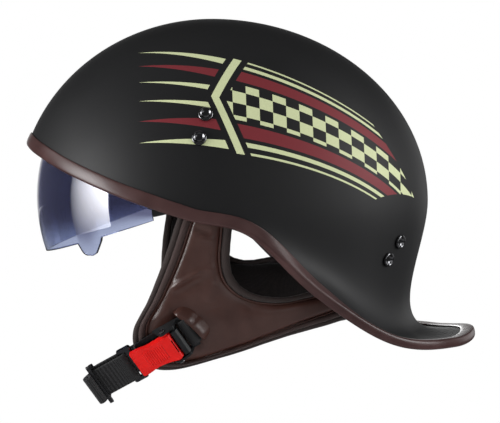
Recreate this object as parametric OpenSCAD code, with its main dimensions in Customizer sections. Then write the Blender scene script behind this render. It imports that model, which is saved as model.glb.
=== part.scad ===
// Half-shell motorcycle helmet with a flared rear brim, a drop-down sun visor, a padded
// leather neck curtain and a ratchet chin buckle.
// The wearer faces -X, the wearer's left side is -Y and +Z is up. The origin is the middle of
// the head cavity on the plane where the shell is widest.

/* [Shell] */
// Height of the crown above the widest plane
shell_h = 120; // [116:1:124]
// Reach from the crown line to the front of the shell
shell_front = 128; // [127:1:131]
// Reach from the crown line to the back of the shell, above the brim
shell_back = 143; // [140:1:146]
// Half of the shell's width
shell_side = 113; // [112:0.5:115]
// Thickness of the moulded wall
shell_wall = 3.6; // [3.2:0.1:3.8]

/* [Edge trim] */
// Thickness of the leather-look edging
trim_t = 1.5; // [1.2:0.1:1.8]
// Length of each leg of the edging
trim_leg = 7.5; // [6:0.5:9]

/* [Visor] */
// Distance from the visor's pivot to the front of the lens
lens_r = 108; // [106:0.5:108]
// Thickness of the lens
lens_t = 2.2; // [1.8:0.1:2.4]
// Angle through which the visor lifts into the shell
visor_lift = 36; // [20:1:38]

/* [Chin strap] */
// Width of the webbing
webbing_w = 19; // [17:0.5:20]
// Thickness of the webbing
webbing_t = 1.6; // [1.2:0.1:1.8]
// Slope of the chin strap below the horizontal
strap_slope = 32; // [31:0.5:33]
// Angle at which the buckle leans in under the jaw
strap_lean = 24; // [23:0.5:25]

/* [Rivets] */
// Diameter of a rivet's head
rivet_head_d = 9.4; // [8:0.2:10]
// Diameter of a rivet's shank
rivet_d = 4.5; // [4:0.1:5]

/* [Hidden] */

$fn = 48;
gap = 0.25;
trim_gap = 0.45;
knot_step = 20;
turn = 360;

// Shell edge heights, every 20 degrees from the front to the back
rim_heights = [38, 32, 19.5, 5.5, -7, -17, -54, -83.2, -88, -84.8];
// How far the edge flares out past the shell's side, its exit angle, and how hard it pulls
rim_flares = [0, 0, 0, 0, 0, 1.5, 9, 18, 26, 30];
rim_angles = [-90, -90, -90, -90, -90, -72, -42, -12, 6, 11];
rim_pulls = [4, 4, 4, 4, 4, 8, 26, 44, 63, 72];
// Lower edge heights of the impact liner on the same steps
liner_edges = [44, 38, 25, 11, -1, -9, -26, -36, -40, -41];
shell_around = 64;
shell_rows = 20;
skirt_rows = 12;
skirt_from = 0.6;
dome_arc = 195;
drop_share = 0.42;

// Head cavity and the liner around it
cavity_x = 6;
cavity_a = 100;
cavity_b = 79;
cavity_h = 86;
pad_t = 6;
liner_a = cavity_a + pad_t;
liner_b = cavity_b + pad_t;
liner_h = cavity_h + pad_t;
liner_gap = 0.8;
pad_gap = 0.9;
liner_around = 52;
liner_rows = 10;
chamfer_d = 15.5;
chamfer_h = 26;
channel_d = 10;

// Visor: the lens is swept round the pivot axis, so it lifts inside its own space
pivot_x = -8;
pivot_z = 3;
lens_top = 20;
lens_end_r = 33;
lens_end_y = 94.5;
lens_c = (lens_r ^ 2 - lens_end_y ^ 2 - lens_end_r ^ 2) / (2 * (lens_r - lens_end_r));
lens_R = lens_r - lens_c;
arm_t = 1.9;
arm_hub_r = 9;
arm_in_y = 96.7;
arm_out_y = arm_in_y + 2.4;
pivot_pin_r = 2.5;
pocket_clear = 3;
pocket_top = lens_top + visor_lift + 14;
lens_rivet_spots = [[-35, -2.2], [-39.5, 2.8]];
lens_rivet_r = 1.5;

// Strap rivets as [angle round from the front, height], the left side's
front_rivets = [[85, 57], [83, 42.5]];
rear_rivets = [[153, -24.5], [149, -35.5]];
plate_w = 15;
plate_l = 25;
plate_t = 1.2;
plate_depth = shell_wall + webbing_t + 2.6;

// Neck curtain: a padded sheet wrapped round the neck, given by its unrolled outline
wrap_x = 15;
wrap_a = shell_back - 41;
wrap_b = shell_side - 23.2;
wrap_lean = 0.23;
wrap_zero_z = -60;
wrap_curl = 0.0046;
wrap_curl_z = -70;
wrap_quarter = 155;
curtain_roll = 5.4;
cover_t = 1.8;
cheek_rows = 26;
nape_rows = 14;
// Outline of the cheek: front and bottom edge, then the ear window's edge, from the rim to the nape
cheek_outer = [[-25.8, -5], [-28.6, -14], [-35, -34], [-44.5, -59], [-54, -80], [-49, -99], [-30, -105],
    [5, -96], [45, -83.5], [86, -75]];
cheek_inner = [[8.5, -5], [7.8, -14], [6.6, -32], [9, -44], [16, -52], [25, -56], [35, -57.5],
    [46, -57], [64, -52.5], [86, -46]];
// The right cheek hangs swung back by this angle about its post, by these shares along its outline,
// and its window's edge is drawn up with it
cheek_swing = 14;
outer_shares = [0, 0.15, 0.5, 0.85, 1, 1, 1, 0.8, 0.4, 0];
swing_at = [-9, -5];
right_inner = [[8.5, -5], [8.6, -14], [9.8, -30], [15, -41], [23, -45], [31, -45.4], [39, -44],
    [48, -42.6], [65, -42.6], [86, -46]];
nape_s = 86;
nape_top = [-46, -42.5];
nape_bottom = [-75, -70];

// Chin strap leg: x runs down the strap, y goes in towards the face, z lies along the webbing's width
strap_x = -18;
strap_z = -77.2;
strap_y = 91.2;
slider_at = 67;
lever_to = 40;
lever_ears = 18;
lever_boss = 20.2;
lever_hub_r = 2.9;
lever_top_r = 3.6;
rib_r = 0.5;
rib_w = 11;
pin_at = 14;
pin_y = -8.2;
pin_r = 1.25;
frame_w = 23.6;
frame_t = 1.4;
tongue_w = 15;
tongue_t = 2.8;
tongue_y = -3.3;
tongue_from = 8;
bar_at = 46;
bar_r = 1.5;
spring_r = 2.15;
spring_wire = 0.8;
spring_turns = 4;
spring_pitch = 1.5;
spring_room = 10;
rear_webbing_w = 13;

shell_black = "#26272a";
leather_brown = "#4a322d";
knit_brown = "#2c211e";
strap_black = "#1b1b1d";
foam_grey = "#3a3a3c";
steel = "#b9bcc0";
gunmetal = "#3c3e42";
lever_red = "#d8201c";
lens_tint = "#4a4d74";
polystyrene = "#222224";

// Shared shapes and functions

function clamp01(t) = min(max(t, 0), 1);
function ease(t) = let (c = clamp01(t)) c * c * (3 - 2 * c);
function unit(v) = v / norm(v);
function mix(a, b, t) = a + (b - a) * t;

// Smooth curve through four neighbouring values
function hermite(p0, p1, p2, p3, f) =
    p1 + 0.5 * f * (p2 - p0 + f * (2 * p0 - 5 * p1 + 4 * p2 - p3 + f * (3 * (p1 - p2) + p3 - p0)));

// A value listed from front to back, read at any angle and the same on both sides
function folded(list, i) = let (n = len(list) - 1) list[i < 0 ? -i : i > n ? 2 * n - i : i];
function around(list, deg) =
    let (d = abs(deg > 180 ? turn - deg : deg), t = d / knot_step, i = floor(t))
    hermite(folded(list, i - 1), folded(list, i), folded(list, i + 1), folded(list, i + 2), t - i);

// A point on the smooth curve through a list of points, with t from 0 to 1
function held(list, i) = list[min(max(i, 0), len(list) - 1)];
function along(list, t) =
    let (u = t * (len(list) - 1), i = min(floor(u), len(list) - 2))
    hermite(held(list, i - 1), held(list, i), held(list, i + 1), held(list, i + 2), u - i);

// Skin over a stack of rings; each end closes on a tip point, or flat across its ring. With even
// sides the second half of each ring is creased as the mirror image of the first.
module loft(rings, start_tip = undef, end_tip = undef, even_sides = false) {
    n = len(rings[0]);
    m = len(rings);
    tips = concat(is_undef(start_tip) ? [] : [start_tip], is_undef(end_tip) ? [] : [end_tip]);
    points = concat([for (r = rings) each r], tips);
    sides = [for (i = [0 : m - 2], j = [0 : n - 1])
        let (k = (j + 1) % n, a = i * n + j, b = i * n + k, flip = even_sides && j >= n / 2)
        each flip ? [[a, b, b + n], [a, b + n, a + n]] : [[a, b, a + n], [b, b + n, a + n]]];
    start = is_undef(start_tip)
        ? [[for (j = [n - 1 : -1 : 0]) j]]
        : [for (j = [0 : n - 1]) [(j + 1) % n, j, m * n]];
    last = (m - 1) * n;
    end = is_undef(end_tip)
        ? [[for (j = [0 : n - 1]) last + j]]
        : [for (j = [0 : n - 1]) [last + j, last + (j + 1) % n, len(points) - 1]];
    polyhedron(points, concat(sides, start, end));
}

module both_sides() {
    children();
    mirror([0, 1, 0]) children();
}

// Shell surface: an oval dome whose lower part flows out into the rear brim

function plan_r(deg) =
    1 / norm([cos(deg) / (cos(deg) > 0 ? shell_front : shell_back), sin(deg) / shell_side]);

function bezier(b0, b1, b2, b3, t) =
    (1 - t) ^ 3 * b0 + 3 * (1 - t) ^ 2 * t * b1 + 3 * (1 - t) * t ^ 2 * b2 + t ^ 3 * b3;

function meridian(deg, v) =
    let (zr = around(rim_heights, deg), r0 = plan_r(deg), fl = around(rim_flares, deg),
        a = around(rim_angles, deg), pull = around(rim_pulls, deg),
        low = zr > 0 ? asin(zr / shell_h) : 0,
        dome = dome_arc * (90 - low) / 90, skirt = max(-zr, 0) + fl,
        split = dome / (dome + skirt), th = 90 - (90 - low) * v / split,
        end = [r0 + fl, zr])
    v <= split
        ? [r0 * cos(th), shell_h * sin(th)]
        : bezier([r0, 0], [r0, drop_share * zr], end - pull * [cos(a), sin(a)], end,
            (v - split) / (1 - split));

function shell_point(deg, v) = let (m = meridian(deg, v)) [-m[0] * cos(deg), -m[0] * sin(deg), m[1]];

function shell_normal(deg, v) =
    let (e = 0.004, lo = max(v - e, 0.001), hi = min(v + e, 1))
    unit(cross(shell_point(deg, hi) - shell_point(deg, lo),
        shell_point(deg + 0.5, v) - shell_point(deg - 0.5, v)));

function shell_at(deg, v, depth) = shell_point(deg, v) - depth * shell_normal(deg, v);

// Where along its meridian the shell passes a given height
function share_at(deg, z, lo = 0, hi = 1, n = 14) =
    let (mid = (lo + hi) / 2)
    n == 0 ? mid
        : meridian(deg, mid)[1] > z ? share_at(deg, z, mid, hi, n - 1)
        : share_at(deg, z, lo, mid, n - 1);

// Places children on the shell's outside, with +Z along its outward normal
module on_shell(deg, z) {
    v = share_at(deg, z);
    n = shell_normal(deg, v);
    translate(shell_point(deg, v))
        rotate([0, acos(n[2]), atan2(n[1], n[0])])
            children();
}

module every_rivet() {
    both_sides()
        for (spot = concat(front_rivets, rear_rivets))
            on_shell(spot[0], spot[1]) children();
}

module outer_shell() {
    bore_r = rivet_d / 2 + 0.1;
    angles = [for (i = [0 : shell_around - 1]) turn * i / shell_around];
    top_rows = shell_rows - skirt_rows;
    shares = concat([for (j = [1 : top_rows]) mix(0.04, skirt_from, (j - 1) / top_rows)],
        [for (j = [1 : skirt_rows]) mix(skirt_from, 1, (j - 1) / (skirt_rows - 1))]);
    outside = [for (v = shares) [for (a = angles) shell_at(a, v, 0)]];
    inside = [for (j = [shell_rows - 1 : -1 : 0]) [for (a = angles) shell_at(a, shares[j], shell_wall)]];
    color(shell_black)
        difference() {
            loft(concat(outside, inside), [0, 0, shell_h], [0, 0, shell_h - shell_wall], true);
            every_rivet() cylinder(h = 6 * shell_wall, r = bore_r, center = true);
        }
}

// Edging: a channel section carried round the rim, square to the edge it covers

function rim_frame(deg) =
    let (p = shell_point(deg, 1), n = shell_normal(deg, 1),
        t = unit(shell_point(deg + 0.5, 1) - shell_point(deg - 0.5, 1)))
    [p, n, cross(t, n)];

// Surface point a distance up from the edge, measured square to the edge
function rim_up(deg, d) =
    let (f = rim_frame(deg), e = 0.02,
        sv = (shell_point(deg, 1) - shell_point(deg, 1 - e)) / e,
        sa = shell_point(deg + 0.5, 1) - shell_point(deg - 0.5, 1),
        g11 = sa * sa, g12 = sa * sv, g22 = sv * sv, b1 = -f[2] * sa, b2 = -f[2] * sv,
        det = g11 * g22 - g12 * g12)
    [deg + d * (b1 * g22 - b2 * g12) / det, 1 + d * (b2 * g11 - b1 * g12) / det];

function rim_at(deg, d, h) =
    d > 0
        ? let (q = rim_up(deg, d)) shell_at(q[0], q[1], -h)
        : let (f = rim_frame(deg)) f[0] - d * f[2] + h * f[1];

module edge_trim() {
    out = trim_gap + trim_t;
    back = -shell_wall - trim_gap;
    in = back - trim_t;
    half = trim_leg / 2;
    soft = 0.9;
    section = [[trim_leg, trim_gap], [trim_leg, out - 0.5 * soft], [half, out], [0, out],
        [-out + soft, out - 0.2], [-out, out - soft], [-out, in + soft], [-out + soft, in + 0.2],
        [0, in], [half, in], [trim_leg, in + soft], [trim_leg, back],
        [half, back], [-trim_gap, back], [-trim_gap, trim_gap], [half, trim_gap]];
    color(leather_brown) {
        rings = [for (i = [0 : shell_around - 1])
            let (a = turn * i / shell_around) [for (s = section) rim_at(a, s[0], s[1])]];
        closed_sweep(rings);
    }
}

// Skin over a stack of rings that runs round and meets itself
module closed_sweep(rings) {
    n = len(rings[0]);
    m = len(rings);
    faces = [for (i = [0 : m - 1], j = [0 : n - 1])
        let (k = (j + 1) % n, p = (i + 1) % m, a = i * n + j, b = i * n + k, c = p * n + j, d = p * n + k)
        each i < m / 2 ? [[a, c, b], [b, c, d]] : [[a, c, d], [a, d, b]]];
    polyhedron([for (r = rings) each r], faces);
}

// Impact liner: fills the space between shell and head, cut back for visor, straps and curtain

function bump(deg, centre, half) =
    let (d = abs(deg > 180 ? turn - deg : deg)) ease((half - abs(d - centre)) / 6);

function liner_depth(deg, z) =
    let (up = z - around(liner_edges, deg), chamfer = chamfer_d * clamp01(1 - up / chamfer_h),
        front = bump(deg, 85, 17) * ease((76 - z) / 8),
        rear = bump(deg, 151, 15) * ease((-8 - z) / 8),
        strap = channel_d * max(front, rear))
    shell_wall + liner_gap + max(chamfer, strap);

// Draws a point in to clear the visor's sweep, in the part of the shell that the visor reaches
function visor_cleared(p) =
    let (x = p[0] - pivot_x, z = p[2] - pivot_z, rho = norm([x, z]),
        lift = atan2(z, -x), e = norm([rho - lens_c, p[1]]) / (lens_R - lens_t - pocket_clear),
        w = ease((pocket_top - lift) / 6) * ease((12 - p[0]) / 10) * (e > 1 ? 1 : 0),
        r2 = lens_c + (rho - lens_c) / max(e, 1), k = mix(1, r2 / max(rho, 1), w))
    [pivot_x + x * k, p[1] * mix(1, 1 / max(e, 1), w), pivot_z + z * k];

function liner_out(deg, t) =
    let (v = t * share_at(deg, around(liner_edges, deg)), p = shell_point(deg, v))
    visor_cleared(shell_at(deg, v, liner_depth(deg, p[2])));

// Point on the liner's inside, drawn in by d towards the head; th is the height angle
function liner_in(deg, th, d = 0) =
    [cavity_x - (liner_a - d) * cos(th) * cos(deg),
        -(liner_b - d) * cos(th) * sin(deg),
        (liner_h - d) * sin(th)];

function liner_low(deg) = asin(around(liner_edges, deg) / liner_h);

module impact_liner() {
    angles = [for (i = [0 : liner_around - 1]) turn * i / liner_around];
    shares = [for (j = [1 : liner_rows]) j / liner_rows];
    outside = [for (t = shares) [for (a = angles) liner_out(a, t)]];
    inside = [for (j = [liner_rows - 1 : -1 : 0])
        [for (a = angles) liner_in(a, 90 - (90 - liner_low(a)) * shares[j])]];
    crown = [0, 0, shell_h - shell_wall - liner_gap];
    color(polystyrene)
        difference() {
            loft(concat(outside, inside), crown, [cavity_x, 0, liner_h], true);
            both_sides() {
                at_left_pivot(86) cylinder(h = 20, r = 6.3);
                at_left_pivot(91.8) cylinder(h = 20, r = 13);
            }
        }
}

// Comfort pads on the liner's inside, crowned towards the head and drawn in at their edges

function pad_swell(a, b) = 1.6 + (pad_t - 2.2) * (1 - (2 * a - 1) ^ 4) * (1 - (2 * b - 1) ^ 4);

module comfort_pad(from, to, top, lift = 3) {
    columns = 12;
    rows = 5;
    rings = [for (i = [0 : columns])
        let (a = i / columns, deg = mix(from, to, a), low = liner_low(deg) + lift)
        concat(
            [for (j = [0 : rows]) liner_in(deg, mix(low, top, j / rows), pad_gap)],
            [for (j = [rows : -1 : 0])
                liner_in(deg, mix(low, top, j / rows), pad_gap + pad_swell(a, j / rows))])];
    color(foam_grey) loft(rings);
}

module brow_pad() { comfort_pad(-46, 46, 50); }
module left_temple_pad() { comfort_pad(52, 112, 40); }
module right_temple_pad() { mirror([0, 1, 0]) left_temple_pad(); }
module rear_pad() { comfort_pad(120, 240, 38); }

module crown_pad() {
    rim_th = 54;
    rows = 4;
    angles = [for (i = [0 : 23]) turn * i / 24];
    heights = [for (j = [1 : rows]) mix(90, rim_th, j / rows)];
    back = [for (th = heights) [for (a = angles) liner_in(a, th, pad_gap)]];
    front = [for (j = [rows - 1 : -1 : 0])
        let (swell = 1.6 + (pad_t - 2.2) * (1 - (j / (rows - 1)) ^ 3))
        [for (a = angles) liner_in(a, heights[j], pad_gap + swell)]];
    color(foam_grey)
        loft(concat(back, front), [cavity_x, 0, liner_h - pad_gap], [cavity_x, 0, liner_h - pad_t + 0.4]);
}

// Rivets that hold the strap ends, and the steel plates behind them

module strap_rivets() {
    r = rivet_head_d / 2;
    tail = plate_depth + plate_t;
    color(gunmetal)
        every_rivet()
            rotate_extrude()
                polygon([[0, -tail - 1.4], [3.2, -tail - 1.2], [3.4, -tail - gap], [rivet_d / 2, -tail - gap],
                    [rivet_d / 2, gap], [r, gap], [r, 0.9], [r - 0.5, 1.6], [r - 1.2, 1.9], [r - 1.9, 1.6],
                    [r - 2.4, 1.1], [0, 0.9]]);
}

module anchor_plate(spots) {
    mid = (spots[0] + spots[1]) / 2;
    n = shell_normal(mid[0], share_at(mid[0], mid[1]));
    p = shell_at(mid[0], share_at(mid[0], mid[1]), plate_depth + plate_t / 2);
    ends = [for (s = spots) shell_point(s[0], share_at(s[0], s[1]))];
    run = unit(ends[0] - ends[1]);
    side = unit(cross(n, run));
    difference() {
        multmatrix([for (i = [0 : 2]) [side[i], cross(n, side)[i], n[i], p[i]]])
            linear_extrude(plate_t, center = true)
                offset(2) square([plate_w - 4, plate_l - 4], center = true);
        for (s = spots)
            on_shell(s[0], s[1]) cylinder(h = 40, r = rivet_d / 2 + 0.5, center = true);
    }
}

module strap_anchor_plates() {
    color(steel)
        both_sides() {
            anchor_plate(front_rivets);
            anchor_plate(rear_rivets);
        }
}

// Visor

// Side view shapes in X and Z about the pivot, extruded across the helmet
module across_helmet(width) {
    translate([pivot_x, 0, pivot_z]) rotate([90, 0, 0]) linear_extrude(width, center = true) children();
}

// A wall of revolution about the pivot axis, between two distances in from the lens's outside
module lens_wall(out, in) {
    translate([pivot_x, 0, pivot_z])
        rotate([90, 0, 0])
            rotate_extrude($fn = 96)
                intersection() {
                    difference() {
                        translate([lens_c, 0]) circle(lens_R - out, $fn = 96);
                        translate([lens_c, 0]) circle(lens_R - in, $fn = 96);
                    }
                    translate([1, -2 * lens_R]) square([2 * lens_R, 4 * lens_R]);
                }
}

module lens_outline() {
    top = lens_r * sin(lens_top) + 4;
    past = -lens_r - 20;
    polygon([[past, -44.8], [-99, -34.7], [-33.6, -12.2], [-33.8, -6.8], [-31.6, -5.6], [-31.5, 0], [-34, 3],
        [-46, 17], [-lens_r * cos(lens_top), top], [past, top]]);
}

module visor_lens() {
    tab = [[-82, -20], [-81, -27.5], [-77, -34], [-74.5, -35.4], [-70, -35.4], [-67.5, -34],
        [-63, -26], [-60, -20]];
    color(lens_tint, 0.55)
        difference() {
            union() {
                intersection() {
                    lens_wall(0, lens_t);
                    across_helmet(3 * lens_r) lens_outline();
                }
                intersection() {
                    lens_wall(0, lens_t);
                    translate([0, -lens_r, 0]) across_helmet(2 * lens_r) polygon(tab);
                }
            }
            lens_rivet_bores();
        }
}

module lens_rivet_bores() {
    for (s = lens_rivet_spots)
        across_helmet(4 * lens_r) translate(s) circle(lens_rivet_r + 0.08);
}

// A bar from the pivot to the lens rivets, with a web that meets the end of the lens
module arm_outline() {
    hull() {
        circle(4.6);
        translate(lens_rivet_spots[0]) circle(2.8);
        translate(lens_rivet_spots[1]) circle(2.8);
    }
    hull() {
        translate([-32.6, -8.2]) circle(1.4);
        translate([-33, -4]) circle(1.4);
        translate([-24, -5.6]) circle(2);
        translate([-24, -1.5]) circle(2.6);
    }
}

module left_visor_arm() {
    color(strap_black)
        difference() {
            union() {
                intersection() {
                    lens_wall(-0.2 - arm_t, -0.2);
                    translate([0, -lens_r, 0])
                        across_helmet(2 * lens_r)
                            arm_outline();
                }
                at_left_pivot(arm_in_y) cylinder(h = arm_out_y - arm_in_y, r = arm_hub_r);
            }
            at_left_pivot(arm_in_y - 6) cylinder(h = 20, r = pivot_pin_r + 0.08);
            lens_rivet_bores();
        }
}

module right_visor_arm() { mirror([0, 1, 0]) left_visor_arm(); }

// Places children on the left pivot axis at a distance out from the middle, pointing outwards
module at_left_pivot(y) {
    translate([pivot_x, -y, pivot_z]) rotate([90, 0, 0]) children();
}

module lens_rivets() {
    color(gunmetal)
        both_sides()
            for (s = lens_rivet_spots) {
                r = norm(s);
                y = sqrt(lens_R ^ 2 - (r - lens_c) ^ 2);
                translate([pivot_x + s[0], -y, pivot_z + s[1]])
                    rotate([90, 0, 0])
                        translate([0, 0, -lens_t - 1.9])
                            rotate_extrude()
                                polygon([[0, 0], [2.2, 0], [2.4, 0.4], [2.4, 1], [lens_rivet_r, 1],
                                    [lens_rivet_r, 7.2], [2.4, 7.2], [2.2, 7.7], [0, 8]]);
            }
}

module left_pivot_base() {
    color(strap_black)
        difference() {
            union() {
                at_left_pivot(92.2) cylinder(h = 4.2, r = 11);
                at_left_pivot(87) cylinder(h = 5.4, r = 6);
            }
            at_left_pivot(80) cylinder(h = 30, r = pivot_pin_r + 0.05);
        }
}

module right_pivot_base() { mirror([0, 1, 0]) left_pivot_base(); }

module visor_pivot_screws() {
    color(gunmetal)
        both_sides()
            difference() {
                union() {
                    at_left_pivot(88) cylinder(h = arm_out_y + 0.6 - 88, r = pivot_pin_r);
                    at_left_pivot(arm_out_y + 0.2) cylinder(h = 1.6, r1 = 5, r2 = 4.4);
                }
                at_left_pivot(arm_out_y + 1)
                    for (a = [0, 90]) rotate([0, 0, a]) translate([-3, -0.5, 0]) cube([6, 1, 2]);
            }
}

// Neck curtain: unrolled places are [distance round, height], h stands out from the middle layer

function wrap_at(s, z, h) =
    let (curl = wrap_curl * max(wrap_curl_z - z, 0) ^ 2, lean = wrap_lean * (z - wrap_zero_z) - curl,
        b = 90 * (s - wrap_x) / wrap_quarter)
    s < wrap_x
        ? [s, -(wrap_b + lean + h), z]
        : [wrap_x + (wrap_a + lean + h) * sin(b), -(wrap_b + lean + h) * cos(b), z];

// One cross-section from the outer edge o to the inner edge i; the profile is [distance in, h] on each side
function curtain_ring(o, i, profile) =
    let (len = norm(i - o), d = (i - o) / len)
    [for (p = profile(len)) let (q = o + d * p[0]) wrap_at(q[0], q[1], p[1])];

// Padded layer with rolled edges and a shallow tray between them for the leather
function pad_profile(l, swell) = let (r = curtain_roll) [
    [0, -0.8], [1, 1.6], [r * 0.45, 2.6], [r - 0.8, 1.4], [r, -1.2], [l / 2, -1.2],
    [l - r, -1.2], [l - r + 0.8, 1.4], [l - r * 0.45, 2.6], [l - 1, 1.6], [l, -0.8],
    [l - 2, -1.9 - 0.35 * swell], [l * 0.7, -2 - 0.85 * swell], [l / 2, -2 - swell],
    [l * 0.3, -2 - 0.85 * swell], [2, -1.9 - 0.35 * swell]];

function cover_profile(l) = let (e = curtain_roll + 0.3) [
    [e, 1], [e, 2.2], [e + 1.5, 1 + cover_t], [l / 2, 1.4 + cover_t], [l - e - 1.5, 1 + cover_t],
    [l - e, 2.2], [l - e, 1], [l / 2, 1.2]];

module curtain(outer, inner, rows, part, swell_from = 1, swell_to = 1) {
    rings = [for (k = [0 : rows])
        let (t = k / rows, o = along(outer, t), i = along(inner, t),
            swell = 7.2 * mix(swell_from, swell_to, clamp01(3 * t)))
        part == "pad"
            ? curtain_ring(o, i, function (l) pad_profile(l, swell))
            : curtain_ring(o, i, function (l) cover_profile(l))];
    loft(rings);
}

function mirrored(list) =
    [for (i = [len(list) - 1 : -1 : 0]) [2 * (wrap_x + wrap_quarter) - list[i][0], list[i][1]]];

nape_half_bottom = [[nape_s + gap, nape_bottom[0]], [wrap_x + wrap_quarter, nape_bottom[1]]];
nape_half_top = [[nape_s + gap, nape_top[0]], [wrap_x + wrap_quarter, nape_top[1]]];

module nape(part) {
    outer = concat(nape_half_bottom, [mirrored(nape_half_bottom)[1]]);
    inner = concat(nape_half_top, [mirrored(nape_half_top)[1]]);
    curtain(outer, inner, nape_rows, part);
}

function swung(list, shares) =
    [for (i = [0 : len(list) - 1])
        let (a = cheek_swing * shares[i], d = list[i] - swing_at)
        swing_at + [d[0] * cos(a) - d[1] * sin(a), d[0] * sin(a) + d[1] * cos(a)]];

right_outer = swung(cheek_outer, outer_shares);

module cheek_pad(outer, inner) { color(knit_brown) curtain(outer, inner, cheek_rows, "pad", 0, 1); }

// Leather with a slot where the chin strap comes out
module cheek_cover(outer, inner, swing) {
    color(leather_brown)
        difference() {
            curtain(outer, inner, cheek_rows, "cover");
            swing_back(swing)
                on_leg() translate([-9.5, -4, -webbing_w / 2 - 1]) cube([10, 16, webbing_w + 2]);
        }
}

module swing_back(a) {
    translate([swing_at[0], 0, swing_at[1]])
        rotate([0, -a, 0])
            translate([-swing_at[0], 0, -swing_at[1]])
                children();
}

module left_cheek_pad() { cheek_pad(cheek_outer, cheek_inner); }
module right_cheek_pad() { mirror([0, 1, 0]) cheek_pad(right_outer, right_inner); }
module nape_pad() { color(knit_brown) nape("pad"); }
module left_cheek_cover() { cheek_cover(cheek_outer, cheek_inner, 0); }
module right_cheek_cover() { mirror([0, 1, 0]) cheek_cover(right_outer, right_inner, cheek_swing); }
module nape_cover() { color(leather_brown) nape("cover"); }

// Snap fasteners that hold the curtain's nape to the shell

snap_spots = [[180, -50], [158, -52]];

module every_snap() {
    on_shell(snap_spots[0][0], snap_spots[0][1]) children();
    both_sides() on_shell(snap_spots[1][0], snap_spots[1][1]) children();
}

module curtain_snap_studs() {
    color(gunmetal)
        every_snap()
            translate([0, 0, -shell_wall - 0.7]) {
                translate([0, 0, -1]) cylinder(h = 1, r = 5.5);
                translate([0, 0, -3.2]) cylinder(h = 2.6, r = 2.2);
            }
}

module curtain_snap_sockets() {
    color(gunmetal)
        every_snap()
            translate([0, 0, -shell_wall - 4.7])
                difference() {
                    cylinder(h = 2.2, r = 5);
                    translate([0, 0, 0.6]) cylinder(h = 2, r = 2.5);
                }
}

// Webbing

module on_leg() {
    translate([strap_x, -strap_y, strap_z])
        rotate([strap_lean, 0, 0])
            rotate([0, 180 - strap_slope, 0])
                children();
}

// The same frame as a function, for places given in the leg's own coordinates
function leg_at(x, y) =
    let (px = -x * cos(strap_slope), pz = -x * sin(strap_slope))
    [strap_x + px, -strap_y + y * cos(strap_lean) - pz * sin(strap_lean),
        strap_z + y * sin(strap_lean) + pz * cos(strap_lean)];

// Flat strip along a path of 2D points, extruded over the webbing's width
function offset_path(path, d) =
    [for (i = [0 : len(path) - 1])
        let (a = path[max(i - 1, 0)], b = path[min(i + 1, len(path) - 1)], t = unit(b - a))
        path[i] + d * [-t[1], t[0]]];

module webbing(path, width = webbing_w) {
    linear_extrude(width, center = true)
        polygon(concat(offset_path(path, webbing_t / 2),
            [for (i = [len(path) - 1 : -1 : 0]) offset_path(path, -webbing_t / 2)[i]]));
}

// Strip in space: each station is [place, direction of the width, direction through the strip]
module ribbon(stations, width) {
    loft([for (s = stations)
        let (w = s[1] * width / 2, n = s[2] * webbing_t / 2)
        [s[0] - w - n, s[0] + w - n, s[0] + w + n, s[0] - w + n]]);
}

// Stations along a curve of places: width and thickness directions follow the curve and a facing direction
function stations(places, facings, count) =
    [for (k = [0 : count])
        let (t = k / count, e = 0.002, p = along(places, t),
            run = unit(along(places, min(t + e, 1)) - along(places, max(t - e, 0))),
            side = unit(cross(run, along(facings, t))))
        [p, side, cross(side, run)]];

// Middle of a strap lying against the shell's inside
function strap_on_shell(x, z) =
    let (d = shell_wall + 1 + webbing_t / 2, u = (x / (shell_front - d)) ^ 2 + (z / (shell_h - d)) ^ 2)
    [x, -(shell_side - d) * sqrt(1 - u), z];

function strap_behind(deg, z) = shell_at(deg, share_at(deg, z), shell_wall + 1 + webbing_t / 2);

// Middle line of a cheek between its layers, where the straps run
function cheek_mid(outer, inner, t) =
    let (q = (along(outer, t) + along(inner, t)) / 2) wrap_at(q[0], q[1], -0.1);

function cheek_facing(outer, inner, t) =
    let (q = (along(outer, t) + along(inner, t)) / 2, e = 0.5,
        down = wrap_at(q[0], q[1] - e, 0) - wrap_at(q[0], q[1] + e, 0),
        back = wrap_at(q[0] + e, q[1], 0) - wrap_at(q[0] - e, q[1], 0))
    unit(cross(down, back));

module front_strap(outer, inner) {
    on_dome = [[-6, 65], [-10.8, 50], [-13.5, 36], [-13, 21], [-10.5, 8]];
    shares = [0.02, 0.11, 0.19, 0.26, 0.33];
    places = concat([for (q = on_dome) strap_on_shell(q[0], q[1])],
        [for (t = shares) cheek_mid(outer, inner, t)]);
    facings = concat([for (q = on_dome) shell_normal(85, share_at(85, q[1]))],
        [for (t = shares) cheek_facing(outer, inner, t)]);
    color(strap_black)
        difference() {
            ribbon(stations(places, facings, 30), webbing_w - 1);
            for (spot = front_rivets)
                on_shell(spot[0], spot[1]) cylinder(h = 40, r = rivet_d / 2 + 0.4, center = true);
        }
}

module left_front_strap() { front_strap(cheek_outer, cheek_inner); }
module right_front_strap() { mirror([0, 1, 0]) front_strap(right_outer, right_inner); }

// Rear strap tab, riveted to the shell and sewn to the outside of the curtain behind the rim
module left_rear_strap() {
    on_back = [[155, -19], [152, -27.5], [149, -36.5]];
    on_curtain = [[98, -51, 5], [91, -55, 5], [84, -58, 5.2], [77, -60, 5.4]];
    places = concat([for (q = on_back) strap_behind(q[0], q[1])],
        [for (q = on_curtain) wrap_at(q[0], q[1], q[2])]);
    facings = concat([for (q = on_back) shell_normal(q[0], share_at(q[0], q[1]))],
        [for (q = on_curtain) wrap_at(q[0], q[1], 1) - wrap_at(q[0], q[1], 0)]);
    color(strap_black)
        difference() {
            ribbon(stations(places, facings, 26), rear_webbing_w);
            for (spot = rear_rivets)
                on_shell(spot[0], spot[1]) cylinder(h = 40, r = rivet_d / 2 + 0.4, center = true);
        }
}

module right_rear_strap() { mirror([0, 1, 0]) left_rear_strap(); }

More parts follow.
